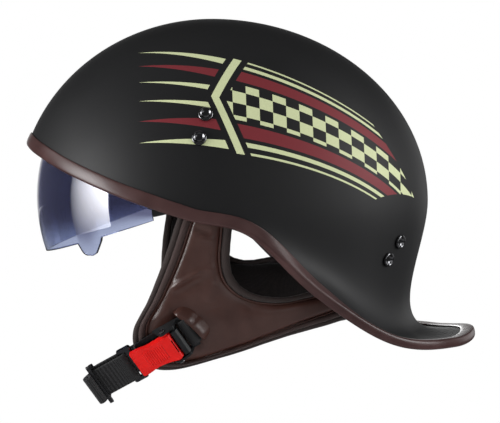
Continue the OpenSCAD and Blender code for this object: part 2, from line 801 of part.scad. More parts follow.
module buckle_strap() {
    path = [for (k = [0 : 24]) along([[-8, 4], [-6, 3], [-3.8, 0.7], [-1.6, -1.9], [0.8, -3.2], [3.4, -2.9],
        [4.6, -1], [4.6, 0.6]], k / 24)];
    color(strap_black) on_leg() webbing(path);
}

// Chin strap from the slider, under the chin and up to the slot in the right cheek
module chin_webbing() {
    under = [[-80.6, -73.2, -113.6], [-82, -63, -117.3], [-80.5, -44, -121.4], [-79, -14, -124.5],
        [-78, 20, -126], [-75.5, 48, -125], [-62, 71, -119.5], [-40, 85, -108], [-18.5, 90.4, -95.5],
        [-6.5, 90.8, -88.2], [-1.5, 89.4, -85], [1.5, 87.6, -82.6]];
    count = len(under);
    places = concat([leg_at(slider_at + 2.8, -1), leg_at(slider_at + 4.4, -0.5)], under);
    left_face = [0, -cos(strap_lean), -sin(strap_lean)];
    mid_face = [-cos(strap_slope), 0, -sin(strap_slope)];
    right_face = [0, cos(strap_lean), -sin(strap_lean)];
    facings = [for (i = [0 : count + 1])
        let (u = (i - 1) / count) u < 0.3
            ? unit(mix(left_face, mid_face, ease(u / 0.25)))
            : unit(mix(mid_face, right_face, ease((u - 0.35) / 0.3)))];
    color(strap_black) ribbon(stations(places, facings, 70), webbing_w);
}

module adjuster_loop() {
    r = bar_r + 0.3 + webbing_t / 2;
    turn_in = [for (a = [90 : 15 : 270]) [bar_at + r * cos(a), tongue_y + r * sin(a)]];
    path = concat([[slider_at + 1.1, -1.2], [slider_at - 4, -0.9], [slider_at - 12, tongue_y + r]], turn_in,
        [[slider_at - 12, tongue_y - r], [slider_at - 4, -5.9], [slider_at, -5.5], [slider_at + 1.8, -5.8],
        [slider_at + 3, -7.6], [slider_at + 3, -9.8]]);
    color(strap_black)
        on_leg() {
            webbing(path);
            linear_extrude(webbing_w, center = true)
                translate([slider_at + 1.2, -11.2]) offset(2) square([1, 0.8], center = true);
        }
}

// Slotted slider whose outer bar runs on into two ears
module strap_slider() {
    color(strap_black)
        on_leg()
            translate([slider_at - 1.1, 0, 0])
                rotate([90, 0, 90])
                    linear_extrude(2.2)
                        difference() {
                            union() {
                                translate([-3.2, 0]) offset(2) square([6.4, 20], center = true);
                                translate([-7.2, 0]) offset(1.2) square([0.2, 28], center = true);
                            }
                            for (y = [-1.2, -5.6])
                                translate([y, 0]) square([2.4, webbing_w + 1.4], center = true);
                        }
}

// Ratchet buckle: a folded steel frame, a sprung lever on a cross pin and a toothed tongue

module leg_plan(y, height) {
    translate([0, y, 0]) rotate([90, 0, 0]) linear_extrude(height) children();
}

// Folded plate with a strap slot, two side plates for the pin, and a bridge over the strap's fold
module buckle_frame() {
    w = frame_w / 2;
    bridge = [7.6, -6.8];
    bridge_w = 18;
    color(steel)
        on_leg()
            difference() {
                union() {
                    leg_plan(0, frame_t)
                        difference() {
                            hull() {
                                translate([2, 0]) square([5, frame_w], center = true);
                                translate([33, 0]) offset(2) square([2, frame_w - 8], center = true);
                            }
                            translate([4.6, 0]) square([3.6, webbing_w + 1.4], center = true);
                        }
                    for (side = [-1, 1])
                        translate([0, 0, side * (w - frame_t / 2)])
                            linear_extrude(frame_t, center = true)
                                hull() {
                                    translate([4, -frame_t]) square([17, frame_t]);
                                    translate([pin_at, pin_y]) circle(3);
                                    translate(bridge) circle(2);
                                }
                    translate([bridge[0], bridge[1], 0])
                        cylinder(h = frame_w - frame_t, r = 1.4, center = true);
                    linear_extrude(bridge_w, center = true)
                        polygon([[5.2, -5.3], [5, -8.2], [6.4, -9.7], [9, -10.3], [9.9, -9.3], [9.9, -5.5]]);
                }
                translate([pin_at, pin_y, 0]) cylinder(h = 2 * frame_w, r = pin_r + 0.05, center = true);
            }
}

// Side view of the lever: a hub, thicker on top, a tapering body, a thin lip and a pawl below
module lever_profile() {
    bend = [lever_to - 9, pin_y + 0.9];
    hull() {
        translate([pin_at, pin_y]) circle(lever_hub_r);
        translate([pin_at, pin_y])
            intersection() {
                circle(lever_top_r);
                translate([-lever_top_r, -lever_top_r]) square([2 * lever_top_r, lever_top_r]);
            }
        translate(bend) circle(1.6);
    }
    hull() {
        translate(bend) circle(1.6);
        translate([lever_to - 1.2, pin_y + 0.5]) circle(1.2);
    }
    polygon([[22, -6], [22.6, -5.05], [24, -5.05], [26, -6]]);
}

// Lever seen from outside: two ears at the pin, a waist and a wide lip
module lever_plan() {
    ear = lever_ears / 2;
    back = pin_at - lever_top_r - 0.4;
    notch = pin_at - 3.2;
    flank = [[pin_at + 3, 8.7], [pin_at + 8, 8.1], [pin_at + 14, 8.1], [lever_to - 7, 9],
        [lever_to - 2, 9.5]];
    half = concat([[notch, 0], [notch, 7], [back, 7.6], [back, ear], [pin_at + 2.2, ear]],
        [for (k = [0 : 12]) along(flank, k / 12)], [[lever_to - 0.5, 9.2], [lever_to, 8.4]]);
    polygon(concat(half, [for (i = [len(half) - 1 : -1 : 1]) [half[i][0], -half[i][1]]]));
}

module buckle_lever() {
    ribs = 10;
    rib_step = 1.5;
    slope = (lever_top_r - 0.7) / (lever_to - 9 - pin_at);
    color(lever_red)
        on_leg()
            difference() {
                union() {
                    intersection() {
                        linear_extrude(lever_ears + 2, center = true) lever_profile();
                        leg_plan(pin_y + 6, 12) lever_plan();
                    }
                    translate([pin_at, pin_y, 0]) cylinder(h = lever_boss, r = 2.3, center = true);
                    for (k = [0 : ribs - 1])
                        let (x = 5 + rib_step * k)
                        translate([pin_at + x, pin_y - lever_top_r + slope * x + 0.12, 0])
                            cylinder(h = rib_w, r = rib_r, center = true, $fn = 16);
                }
                translate([pin_at, pin_y, 0]) cylinder(h = 2 * frame_w, r = pin_r + 0.08, center = true);
                translate([pin_at - 2.7, pin_y - 2.9, -spring_room / 2]) cube([7.2, 12, spring_room]);
            }
}

module lever_pin() {
    color(steel)
        on_leg()
            translate([pin_at, pin_y, 0]) {
                cylinder(h = frame_w + 1.4, r = pin_r, center = true);
                for (side = [-1, 1])
                    translate([0, 0, side * (frame_w / 2 + 0.7)]) cylinder(h = 0.8, r = 2, center = true);
            }
}

// One unbroken wire: turns round the pin with a straight tail at each end
module lever_spring() {
    steps = 16;
    coil = [for (k = [0 : steps * spring_turns])
        let (a = turn * k / steps, z = spring_pitch * (k / steps - spring_turns / 2))
        [spring_r * cos(a), spring_r * sin(a), z]];
    ends = [[spring_r, -2.2, coil[0][2]], [spring_r, 2.2, coil[len(coil) - 1][2]]];
    wire = concat([ends[0]], coil, [ends[1]]);
    least = min([for (k = [0 : steps * (spring_turns - 1)]) norm(coil[k + steps] - coil[k])]) - spring_wire;
    echo(spring_least_gap = least);
    color(steel)
        on_leg()
            translate([pin_at, pin_y, 0])
                loft([for (i = [0 : len(wire) - 1])
                    let (run = unit(held(wire, i + 1) - held(wire, i - 1)),
                        u = unit(cross(run, [0, 0, 1])), v = cross(run, u))
                    [for (a = [0 : 60 : 300]) wire[i] + spring_wire / 2 * (cos(a) * u - sin(a) * v)]]);
}

module ratchet_tongue() {
    teeth = 10;
    pitch = 2.4;
    top = tongue_y - tongue_t / 2;
    color(strap_black)
        on_leg()
            difference() {
                union() {
                    leg_plan(tongue_y + tongue_t / 2, tongue_t)
                        hull() {
                            translate([tongue_from + 3, 0]) circle(3);
                            translate([tongue_from + 6, 0]) square([2, tongue_w], center = true);
                            translate([bar_at - 7, 0]) square([2, tongue_w], center = true);
                        }
                    leg_plan(tongue_y + tongue_t / 2, tongue_t)
                        difference() {
                            translate([bar_at - 3.2, 0])
                                offset(1.5) square([6.8, webbing_w + 3.4], center = true);
                            translate([bar_at, 0]) square([9, webbing_w + 1.4], center = true);
                        }
                    translate([bar_at, tongue_y, 0]) cylinder(h = webbing_w + 3, r = bar_r, center = true);
                }
                for (k = [0 : teeth - 1])
                    translate([tongue_from + 6 + pitch * k, top, 0])
                        linear_extrude(2 * tongue_w, center = true)
                            polygon([[0, -1], [0, 1], [pitch - 0.5, -1]]);
            }
}

outer_shell();
edge_trim();
impact_liner();
crown_pad();
brow_pad();
left_temple_pad();
right_temple_pad();
rear_pad();
strap_rivets();
strap_anchor_plates();
visor_lens();
left_visor_arm();
right_visor_arm();
lens_rivets();
left_pivot_base();
right_pivot_base();
visor_pivot_screws();
left_cheek_pad();
right_cheek_pad();
nape_pad();
left_cheek_cover();
right_cheek_cover();
nape_cover();
curtain_snap_studs();
curtain_snap_sockets();
left_front_strap();
right_front_strap();
left_rear_strap();
right_rear_strap();
buckle_strap();
chin_webbing();
adjuster_loop();
strap_slider();
buckle_frame();
buckle_lever();
lever_pin();
lever_spring();
ratchet_tongue();
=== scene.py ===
import math

import bpy
from mathutils import Matrix, Vector


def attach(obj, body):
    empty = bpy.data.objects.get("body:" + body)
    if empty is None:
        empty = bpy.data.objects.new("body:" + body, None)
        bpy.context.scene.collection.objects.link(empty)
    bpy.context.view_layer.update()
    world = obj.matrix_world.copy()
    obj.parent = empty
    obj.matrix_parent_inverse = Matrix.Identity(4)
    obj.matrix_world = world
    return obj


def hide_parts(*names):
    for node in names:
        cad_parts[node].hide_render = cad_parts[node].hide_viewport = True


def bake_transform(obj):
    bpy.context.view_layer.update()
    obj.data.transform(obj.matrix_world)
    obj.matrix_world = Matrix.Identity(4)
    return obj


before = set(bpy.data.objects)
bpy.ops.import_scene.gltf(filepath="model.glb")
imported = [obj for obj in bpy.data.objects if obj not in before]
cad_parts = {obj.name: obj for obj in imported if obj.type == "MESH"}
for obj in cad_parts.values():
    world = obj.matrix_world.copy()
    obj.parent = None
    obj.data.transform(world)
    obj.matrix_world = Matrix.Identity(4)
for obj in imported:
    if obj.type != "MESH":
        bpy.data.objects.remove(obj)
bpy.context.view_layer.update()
mm = 0.001
print("frame loaded,", len(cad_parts), "nodes")

# Camera, as the photograph was taken
cameraView = {"target": (24.97, 0, -7.52), "distance": 1600, "azimuth": -3.5, "elevation": 2.5, "lens": 173.5}


def setCamera(view):
    a, e = math.radians(view["azimuth"]), math.radians(view["elevation"])
    back = Vector((math.sin(a) * math.cos(e), -math.cos(a) * math.cos(e), math.sin(e)))
    place = (Vector(view["target"]) + view["distance"] * back) * mm
    bpy.ops.object.camera_add(location=place, rotation=(-back).to_track_quat("-Z", "Y").to_euler())
    camera = bpy.context.object
    camera.data.lens = view["lens"]
    camera.data.sensor_width = 36
    bpy.context.scene.camera = camera


setCamera(cameraView)
print("camera set")


# Working with objects
def only(obj):
    bpy.ops.object.select_all(action="DESELECT")
    obj.select_set(True)
    bpy.context.view_layer.objects.active = obj
    return obj


def applied(obj, kind, **settings):
    only(obj)
    modifier = obj.modifiers.new(kind.title(), kind)
    for name, value in settings.items():
        setattr(modifier, name, value)
    bpy.ops.object.modifier_apply(modifier=modifier.name)
    return obj


def editWhole(obj):
    only(obj)
    bpy.ops.object.mode_set(mode="EDIT")
    bpy.ops.mesh.select_all(action="SELECT")


def facedOut(obj):
    bpy.ops.mesh.normals_make_consistent(inside=False)
    bpy.ops.object.mode_set(mode="OBJECT")
    return obj


def cleaned(obj, gap=0.000005):
    editWhole(obj)
    bpy.ops.mesh.remove_doubles(threshold=gap)
    return facedOut(obj)


def capped(obj):
    # Closes the open ends of a tube
    editWhole(obj)
    bpy.ops.mesh.fill_holes(sides=0)
    return facedOut(obj)


def flipped(obj):
    editWhole(obj)
    bpy.ops.mesh.flip_normals()
    bpy.ops.object.mode_set(mode="OBJECT")


def laidGrid(name, columns, rows, place, uvSize=None):
    # A grid laid over a curved form: place(u, v) gives each point in millimetres
    bpy.ops.object.select_all(action="DESELECT")
    bpy.ops.mesh.primitive_grid_add(x_subdivisions=columns, y_subdivisions=rows, size=1,
                                    location=(0.5, 0.5, 0))
    obj = bpy.context.object
    bpy.ops.object.transform_apply(location=True, rotation=False, scale=False)
    obj.name = name
    obj.data.name = name
    for vert in obj.data.vertices:
        vert.co = Vector(place(vert.co.x, vert.co.y)) * mm
    if uvSize:
        for corner in obj.data.uv_layers.active.data:
            corner.uv = (corner.uv[0] * uvSize[0], corner.uv[1] * uvSize[1])
    return cleaned(obj)


def finished(obj, body, mat, slot, *nodes, smooth=40):
    only(obj)
    bpy.ops.object.shade_smooth_by_angle(angle=math.radians(smooth))
    if not obj.data.materials:
        obj.data.materials.append(mat)
    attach(obj, body)
    if nodes:
        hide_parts(*nodes)
    return obj


def smoothCopy(node, name, body, mat, slot, smooth=40):
    # A faceted CAD solid again, with its seams merged and its shading smooth
    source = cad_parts[node]
    obj = bpy.data.objects.new(name, source.data.copy())
    bpy.context.scene.collection.objects.link(obj)
    obj.data.name = name
    obj.data.materials.clear()
    cleaned(obj, 0.00002)
    return finished(obj, body, mat, slot, node, smooth=smooth)


# Curves
def mix(a, b, t):
    return a + (b - a) * t


def ease(t):
    t = min(max(t, 0), 1)
    return t * t * (3 - 2 * t)


def hermite(p0, p1, p2, p3, f):
    return p1 + (p2 - p0 + (2 * p0 - 5 * p1 + 4 * p2 - p3 + (3 * (p1 - p2) + p3 - p0) * f) * f) * (0.5 * f)


def along(points, t):
    # A point on the smooth curve through a list of points, with t from 0 to 1
    last = len(points) - 1
    i = min(int(t * last), last - 1)
    near = [points[min(max(k, 0), last)] for k in range(i - 1, i + 3)]
    return hermite(*near, t * last - i)


def vectors(points):
    return [Vector(p) for p in points]


def lengthOf(points):
    return sum((b - a).length for a, b in zip(points, points[1:]))


def sided(point, side):
    return Vector((point.x, point.y * side, point.z))


def bisected(low, high, steps, before):
    # The place between low and high at which before(place) stops being true
    for _ in range(steps):
        middle = (low + high) / 2
        low, high = (middle, high) if before(middle) else (low, middle)
    return low


# Materials
def addNode(mat, kind, setup=None, **inputs):
    node = mat.node_tree.nodes.new("ShaderNode" + kind)
    for key, value in (setup or {}).items():
        setattr(node, key, value)
    for key, value in inputs.items():
        feed(mat, node.inputs[key.replace("_", " ")], value)
    return node


def feed(mat, socket, value):
    if isinstance(value, bpy.types.NodeSocket):
        mat.node_tree.links.new(value, socket)
    else:
        socket.default_value = value


def calc(mat, operation, *values):
    node = addNode(mat, "Math", {"operation": operation})
    for socket, value in zip(node.inputs, values):
        feed(mat, socket, value)
    return node.outputs[0]


def between(mat, value, low, high):
    return calc(mat, "MULTIPLY", calc(mat, "GREATER_THAN", value, low), calc(mat, "LESS_THAN", value, high))


def tint(mat, amount, first, second):
    node = addNode(mat, "Mix", {"data_type": "RGBA"})
    for index, value in ((0, amount), (6, first), (7, second)):
        feed(mat, node.inputs[index], value)
    return node.outputs[2]


def ramp(mat, value, low, high, lowTo, highTo):
    node = addNode(mat, "MapRange", Value=value, From_Min=low, From_Max=high, To_Min=lowTo, To_Max=highTo)
    return node.outputs[0]


def objectPoint(mat):
    return addNode(mat, "TexCoord").outputs["Object"]


def uvPoint(mat):
    return addNode(mat, "UVMap", {"uv_map": "UVMap"}).outputs["UV"]


def axesOf(mat, point):
    return addNode(mat, "SeparateXYZ", Vector=point).outputs


def waves(mat, value, pitch):
    return calc(mat, "SINE", calc(mat, "MULTIPLY", value, math.tau * 1000 / pitch))


def noise(mat, point, scale, detail=3, roughness=0.55):
    return addNode(mat, "TexNoise", Vector=point, Scale=scale, Detail=detail, Roughness=roughness).outputs[0]


def bumped(mat, height, strength, distance):
    bump = addNode(mat, "Bump", Height=height, Strength=strength, Distance=distance * mm)
    feed(mat, shaderOf(mat).inputs["Normal"], bump.outputs[0])


def shaderOf(mat):
    return mat.node_tree.nodes["Principled BSDF"]


def dress(mat, socket, value):
    feed(mat, shaderOf(mat).inputs[socket], value)


def rgba(color, factor=1):
    return (*[factor * c for c in color], 1)


def newMaterial(name, color, roughness, **sockets):
    mat = bpy.data.materials.new(name)
    mat.use_nodes = True
    shader = shaderOf(mat)
    shader.inputs["Base Color"].default_value = rgba(color)
    shader.inputs["Roughness"].default_value = roughness
    for key, value in sockets.items():
        shader.inputs[key.replace("_", " ")].default_value = value
    return mat


def varied(mat, point, scale, dark, pale, rough):
    # Colour and roughness that wander a little over the surface
    cloud = noise(mat, point, scale)
    dress(mat, "Base Color", tint(mat, ramp(mat, cloud, 0.3, 0.7, 0, 1), rgba(dark), rgba(pale)))
    dress(mat, "Roughness", ramp(mat, cloud, 0.25, 0.75, *rough))


paintForm = {
    "black": (0.0072, 0.0073, 0.0080), "cream": (0.50, 0.54, 0.31), "red": (0.15, 0.012, 0.018),
    # the sash: its line and half width, its ends and how they slant, the chevron ahead of it
    "tilt": 35, "centre": 2, "slope": -0.22, "half": 38, "narrowing": 0.13,
    "from": 4, "fromSlant": 16, "to": 128, "toSlant": -30, "square": 8.4, "chevron": (9, 4), "gap": 13,
    # shares of the half width
    "row": 0.24, "chequer": 0.36, "redBand": (0.43, 0.67), "pins": ((0.74, 0.82), (0.91, 0.95)), "tip": 0.95,
    # streaks as middle and half thickness, which grow from flowFrom backwards
    "flowFrom": -50, "paleStreaks": ((0.17, 0.06), (0.82, 0.07)), "redStreak": (0.5, 0.1),
}


def shellPaint(form):
    # Matte black with a chequered sash and stripes on each side, and streaks running forward from it
    mat = newMaterial("shellPaint", form["black"], 0.5, Specular_IOR_Level=0.32)
    point = objectPoint(mat)
    x, y, z = [calc(mat, "MULTIPLY", axis, 1000) for axis in axesOf(mat, point)]
    tilt = math.radians(form["tilt"])
    drop = calc(mat, "MULTIPLY", calc(mat, "ABSOLUTE", y), -math.sin(tilt))
    up = calc(mat, "MULTIPLY_ADD", z, math.cos(tilt), drop)
    line = calc(mat, "MULTIPLY_ADD", x, form["slope"], form["centre"])
    half = calc(mat, "MULTIPLY_ADD", x, -form["narrowing"], form["half"])
    across = calc(mat, "DIVIDE", calc(mat, "SUBTRACT", up, line), half)
    share = calc(mat, "ABSOLUTE", across)
    front = calc(mat, "MULTIPLY_ADD", share, form["fromSlant"], form["from"])
    back = calc(mat, "MULTIPLY_ADD", share, form["toSlant"], form["to"])
    reach = between(mat, x, front, back)
    column = calc(mat, "FLOOR", calc(mat, "DIVIDE", x, form["square"]))
    row = calc(mat, "FLOOR", calc(mat, "MULTIPLY", calc(mat, "ADD", across, 1), 1 / form["row"]))
    odd = calc(mat, "MODULO", calc(mat, "ADD", calc(mat, "ADD", column, row), 100), 2)
    chequer = calc(mat, "MULTIPLY", odd, calc(mat, "LESS_THAN", share, form["chequer"]))
    pins = calc(mat, "ADD", *[between(mat, share, *pin) for pin in form["pins"]])
    bar = between(mat, x, *[calc(mat, "SUBTRACT", front, ahead) for ahead in form["chevron"]])
    chevron = calc(mat, "MULTIPLY", bar, calc(mat, "LESS_THAN", share, form["tip"]))
    pale = calc(mat, "MAXIMUM", calc(mat, "MULTIPLY", calc(mat, "MAXIMUM", chequer, pins), reach), chevron)
    red = calc(mat, "MULTIPLY", between(mat, share, *form["redBand"]), reach)
    grown = ramp(mat, x, form["flowFrom"], form["from"], 0, 1)
    grown = calc(mat, "MULTIPLY", grown, calc(mat, "LESS_THAN", x, calc(mat, "SUBTRACT", front, form["gap"])))

    def streak(middle, thick):
        off = calc(mat, "ABSOLUTE", calc(mat, "SUBTRACT", share, middle))
        return calc(mat, "LESS_THAN", off, calc(mat, "MULTIPLY", grown, thick))

    for paleStreak in form["paleStreaks"]:
        pale = calc(mat, "MAXIMUM", pale, streak(*paleStreak))
    red = calc(mat, "MAXIMUM", red, streak(*form["redStreak"]))
    black = tint(mat, noise(mat, point, 40), rgba(form["black"]), rgba(form["black"], 1.25))
    cream = tint(mat, noise(mat, point, 900, 2), rgba(form["cream"], 0.88), rgba(form["cream"]))
    dress(mat, "Base Color", tint(mat, red, tint(mat, pale, black, cream), rgba(form["red"])))
    dress(mat, "Roughness", ramp(mat, noise(mat, point, 25), 0.3, 0.7, 0.50, 0.56))
    bumped(mat, noise(mat, point, 1500, 2), 0.05, 0.05)
    return mat


def leatherLook(name, dark, pale, rough, cell, grain=0.35, specular=0.4):
    mat = newMaterial(name, pale, rough[0], Specular_IOR_Level=specular)
    point = objectPoint(mat)
    varied(mat, point, 60, dark, pale, rough)
    cells = addNode(mat, "TexVoronoi", {"feature": "DISTANCE_TO_EDGE"}, Vector=point, Scale=1000 / cell)
    pebble = ramp(mat, cells.outputs["Distance"], 0, 0.22, 0, 1)
    bumped(mat, calc(mat, "ADD", pebble, calc(mat, "MULTIPLY", noise(mat, point, 350), 1.2)), grain, 0.12)
    return mat


def knitLook(name, dark, pale, loop):
    # Rows of small loops, as on a mesh lining
    mat = newMaterial(name, pale, 0.85, Specular_IOR_Level=0.2, Sheen_Weight=0.15, Sheen_Roughness=0.4)
    point = objectPoint(mat)
    cells = addNode(mat, "TexVoronoi", {"feature": "F1"}, Vector=point, Scale=1000 / loop, Randomness=0.35)
    pit = ramp(mat, cells.outputs["Distance"], 0.1, 0.6, 1, 0)
    # Painted shade: the colour follows the loops' relief, darker in the hollows between the loops and paler
    # on their tops
    dress(mat, "Base Color", tint(mat, pit, rgba(dark), rgba(pale)))
    bumped(mat, pit, 0.5, 0.25)
    return mat


def bindingLook(name, dark, pale, rib):
    # Knitted tape with fine slanting ribs across the roll, on UVs in metres
    mat = newMaterial(name, pale, 0.75, Specular_IOR_Level=0.3, Sheen_Weight=0.12, Sheen_Roughness=0.35)
    uv = axesOf(mat, uvPoint(mat))
    slant = calc(mat, "MULTIPLY_ADD", uv[1], 0.55, uv[0])
    wale = waves(mat, slant, rib)
    course = waves(mat, uv[1], 0.8)
    height = calc(mat, "MULTIPLY_ADD", course, 0.3, wale)
    cloud = noise(mat, objectPoint(mat), 220)
    # Painted shade and highlight: darker in the grooves between the ribs and paler on their tops, plus a
    # little noise that varies the tone
    share = calc(mat, "MULTIPLY_ADD", cloud, 0.25, ramp(mat, height, -1.2, 1.2, 0, 0.75))
    dress(mat, "Base Color", tint(mat, share, rgba(dark), rgba(pale)))
    bumped(mat, height, 0.45, 0.16)
    return mat


def webbingLook(name, dark, pale, rib, yarn):
    # Ribs across the strap over fine lengthwise yarns, on UVs in metres
    mat = newMaterial(name, pale, 0.62, Specular_IOR_Level=0.35, Sheen_Weight=0.08)
    uv = axesOf(mat, uvPoint(mat))
    weft = waves(mat, uv[0], rib)
    warp = waves(mat, uv[1], yarn)
    height = calc(mat, "MULTIPLY_ADD", warp, 0.4, weft)
    # Painted shade and highlight: darker in the grooves between the ribs and yarns and paler on their tops
    dress(mat, "Base Color", tint(mat, ramp(mat, height, -1.2, 1.2, 0, 1), rgba(dark), rgba(pale)))
    bumped(mat, height, 0.4, 0.12)
    return mat


def metalLook(name, color, rough, scratch=0.12):
    mat = newMaterial(name, color, rough[0], Metallic=1)
    point = objectPoint(mat)
    varied(mat, point, 300, [0.8 * c for c in color], color, rough)
    bumped(mat, noise(mat, point, 2500, 2), scratch, 0.03)
    return mat


def plasticLook(name, dark, pale, rough, specular=0.5):
    mat = newMaterial(name, pale, rough[0], Specular_IOR_Level=specular)
    point = objectPoint(mat)
    varied(mat, point, 120, dark, pale, rough)
    bumped(mat, noise(mat, point, 1800, 2), 0.06, 0.06)
    return mat


def foamLook(name, color, bead):
    # Pressed beads of the impact liner
    mat = newMaterial(name, color, 0.8, Specular_IOR_Level=0.3)
    point = objectPoint(mat)
    cells = addNode(mat, "TexVoronoi", {"feature": "DISTANCE_TO_EDGE"}, Vector=point, Scale=1000 / bead)
    seam = ramp(mat, cells.outputs["Distance"], 0, 0.12, 0, 1)
    dress(mat, "Base Color", tint(mat, seam, rgba(color, 0.6), rgba(color)))
    bumped(mat, seam, 0.4, 0.3)
    return mat


def lensLook(name, dark, pale, fadeFrom, fadeTo):
    # Smoke tint that pales towards the lower edge, on UVs that run from the lower edge to the top
    mat = newMaterial(name, dark, 0.012, Transmission_Weight=1.0, IOR=1.85)
    height = axesOf(mat, uvPoint(mat))[1]
    shade = addNode(mat, "MapRange", {"interpolation_type": "SMOOTHSTEP"}, Value=height, From_Min=fadeFrom,
                    From_Max=fadeTo)
    dress(mat, "Base Color", tint(mat, shade.outputs[0], rgba(pale), rgba(dark)))
    dress(mat, "Roughness", ramp(mat, noise(mat, objectPoint(mat), 30), 0.3, 0.7, 0.006, 0.02))
    return mat


paint = shellPaint(paintForm)
trimLeather = leatherLook("trimLeather", (0.036, 0.0150, 0.0142), (0.054, 0.0230, 0.0218), (0.28, 0.36), 1.6,
                          0.05, 0.5)
hide = leatherLook("hide", (0.041, 0.0160, 0.0120), (0.060, 0.0245, 0.0185), (0.28, 0.37), 1.2, 0.18, 0.6)
darkKnit = knitLook("darkKnit", (0.0035, 0.0023, 0.0021), (0.013, 0.0085, 0.0078), 0.9)
brownBinding = bindingLook("brownBinding", (0.016, 0.0095, 0.0088), (0.070, 0.042, 0.038), 1.1)
darkBinding = bindingLook("darkBinding", (0.013, 0.0088, 0.0080), (0.048, 0.0330, 0.0300), 1.0)
padFabric = knitLook("padFabric", (0.008, 0.008, 0.009), (0.033, 0.033, 0.036), 1.4)
webbing = webbingLook("webbing", (0.0055, 0.0055, 0.006), (0.021, 0.021, 0.0225), 1.05, 0.9)
blackPlastic = plasticLook("blackPlastic", (0.008, 0.008, 0.009), (0.014, 0.014, 0.016), (0.26, 0.38))
redPlastic = plasticLook("redPlastic", (0.50, 0.0062, 0.0052), (0.62, 0.009, 0.007), (0.26, 0.36), 0.18)
smokedLens = lensLook("smokedLens", (0.125, 0.132, 0.232), (0.37, 0.42, 0.60), 0.02, 0.30)
lensEdge = plasticLook("lensEdge", (0.010, 0.011, 0.020), (0.018, 0.020, 0.036), (0.10, 0.18))
rivetMetal = metalLook("rivetMetal", (0.20, 0.20, 0.21), (0.10, 0.18))
steel = metalLook("steel", (0.34, 0.34, 0.36), (0.20, 0.30))
darkSteel = metalLook("darkSteel", (0.09, 0.09, 0.10), (0.14, 0.24))
blackSteel = plasticLook("blackSteel", (0.008, 0.009, 0.010), (0.013, 0.014, 0.015), (0.34, 0.44), 0.3)
beads = foamLook("beads", (0.014, 0.014, 0.015), 3.2)
print("materials made")

# Outer shell
shellForm = {
    "height": 120, "front": 128, "back": 143, "side": 113, "wall": 3.6,
    "domeArc": 195, "dropShare": 0.42, "step": 20, "columns": 192, "rows": 110,
    "rimHeights": (38, 32, 19.5, 5.5, -7, -17, -54, -83.2, -88, -84.8),
    "rimFlares": (0, 0, 0, 0, 0, 1.5, 9, 18, 26, 30),
    "rimAngles": (-90, -90, -90, -90, -90, -72, -42, -12, 6, 11),
    "rimPulls": (4, 4, 4, 4, 4, 8, 26, 44, 63, 72),
}


def around(values, deg):
    # A value listed every 20 degrees from the front to the back, the same on both sides
    t = abs(360 - deg if deg > 180 else deg) / shellForm["step"]
    last = len(values) - 1
    i = int(t)
    near = [values[abs(k) if k <= last else 2 * last - k] for k in range(i - 1, i + 3)]
    return hermite(*near, t - i)


def planRadius(deg):
    c, s = math.cos(math.radians(deg)), math.sin(math.radians(deg))
    return 1 / math.hypot(c / (shellForm["front"] if c > 0 else shellForm["back"]), s / shellForm["side"])


def meridian(deg, v):
    # Distance out from the crown line and height, v running from the crown to the rim
    low = around(shellForm["rimHeights"], deg)
    radius, flare = planRadius(deg), around(shellForm["rimFlares"], deg)
    angle, pull = math.radians(around(shellForm["rimAngles"], deg)), around(shellForm["rimPulls"], deg)
    tall = shellForm["height"]
    bottom = math.degrees(math.asin(low / tall)) if low > 0 else 0
    dome = shellForm["domeArc"] * (90 - bottom) / 90
    split = dome / (dome + max(-low, 0) + flare)
    if v <= split:
        th = math.radians(90 - (90 - bottom) * v / split)
        return radius * math.cos(th), tall * math.sin(th)
    f = (v - split) / (1 - split)
    end = Vector((radius + flare, low))
    knots = (Vector((radius, 0)), Vector((radius, shellForm["dropShare"] * low)),
             end - pull * Vector((math.cos(angle), math.sin(angle))), end)
    return tuple(sum((k * w for k, w in zip(knots, bernstein(f))), Vector((0, 0))))


def bernstein(f):
    return (1 - f) ** 3, 3 * (1 - f) ** 2 * f, 3 * (1 - f) * f ** 2, f ** 3


def shellPoint(deg, v):
    out, z = meridian(deg, v)
    return Vector((-out * math.cos(math.radians(deg)), -out * math.sin(math.radians(deg)), z))


def shellNormal(deg, v):
    low, high = max(v - 0.004, 0.001), min(v + 0.004, 1)
    down = shellPoint(deg, high) - shellPoint(deg, low)
    side = shellPoint(deg + 0.5, v) - shellPoint(deg - 0.5, v)
    return down.cross(side).normalized()


def shellAt(deg, v, depth):
    return shellPoint(deg, v) - depth * shellNormal(deg, v)


def shareAt(deg, z):
    # Where along its meridian the shell passes a height
    return bisected(0, 1, 16, lambda v: meridian(deg, v)[1] > z)


shell = laidGrid("shell", shellForm["columns"], shellForm["rows"], lambda u, v: shellPoint(360 * u, v))
if min(shell.data.vertices, key=lambda vert: -vert.co.z).normal.z < 0:
    flipped(shell)
applied(shell, "SOLIDIFY", thickness=shellForm["wall"] * mm, offset=-1)
finished(shell, "helmet", paint, "shell", "outer_shell")
print("shell made")

# Edging round the rim
trimForm = {"thick": 1.2, "leg": 7.4, "gap": 0.25, "tip": 0.85, "soft": 0.9, "columns": 288}


def rimUp(deg, d):
    # Surface place a distance up from the edge, measured square to the edge
    normal = shellNormal(deg, 1)
    sa = shellPoint(deg + 0.5, 1) - shellPoint(deg - 0.5, 1)
    sv = (shellPoint(deg, 1) - shellPoint(deg, 0.98)) / 0.02
    down = sa.normalized().cross(normal)
    g11, g12, g22, b1, b2 = sa.dot(sa), sa.dot(sv), sv.dot(sv), -down.dot(sa), -down.dot(sv)
    det = g11 * g22 - g12 * g12
    return deg + d * (b1 * g22 - b2 * g12) / det, 1 + d * (b2 * g11 - b1 * g12) / det, down, normal


def rimAt(deg, d, h):
    degUp, v, down, normal = rimUp(deg, d)
    return shellAt(degUp, v, -h) if d > 0 else shellPoint(deg, 1) - d * down + h * normal


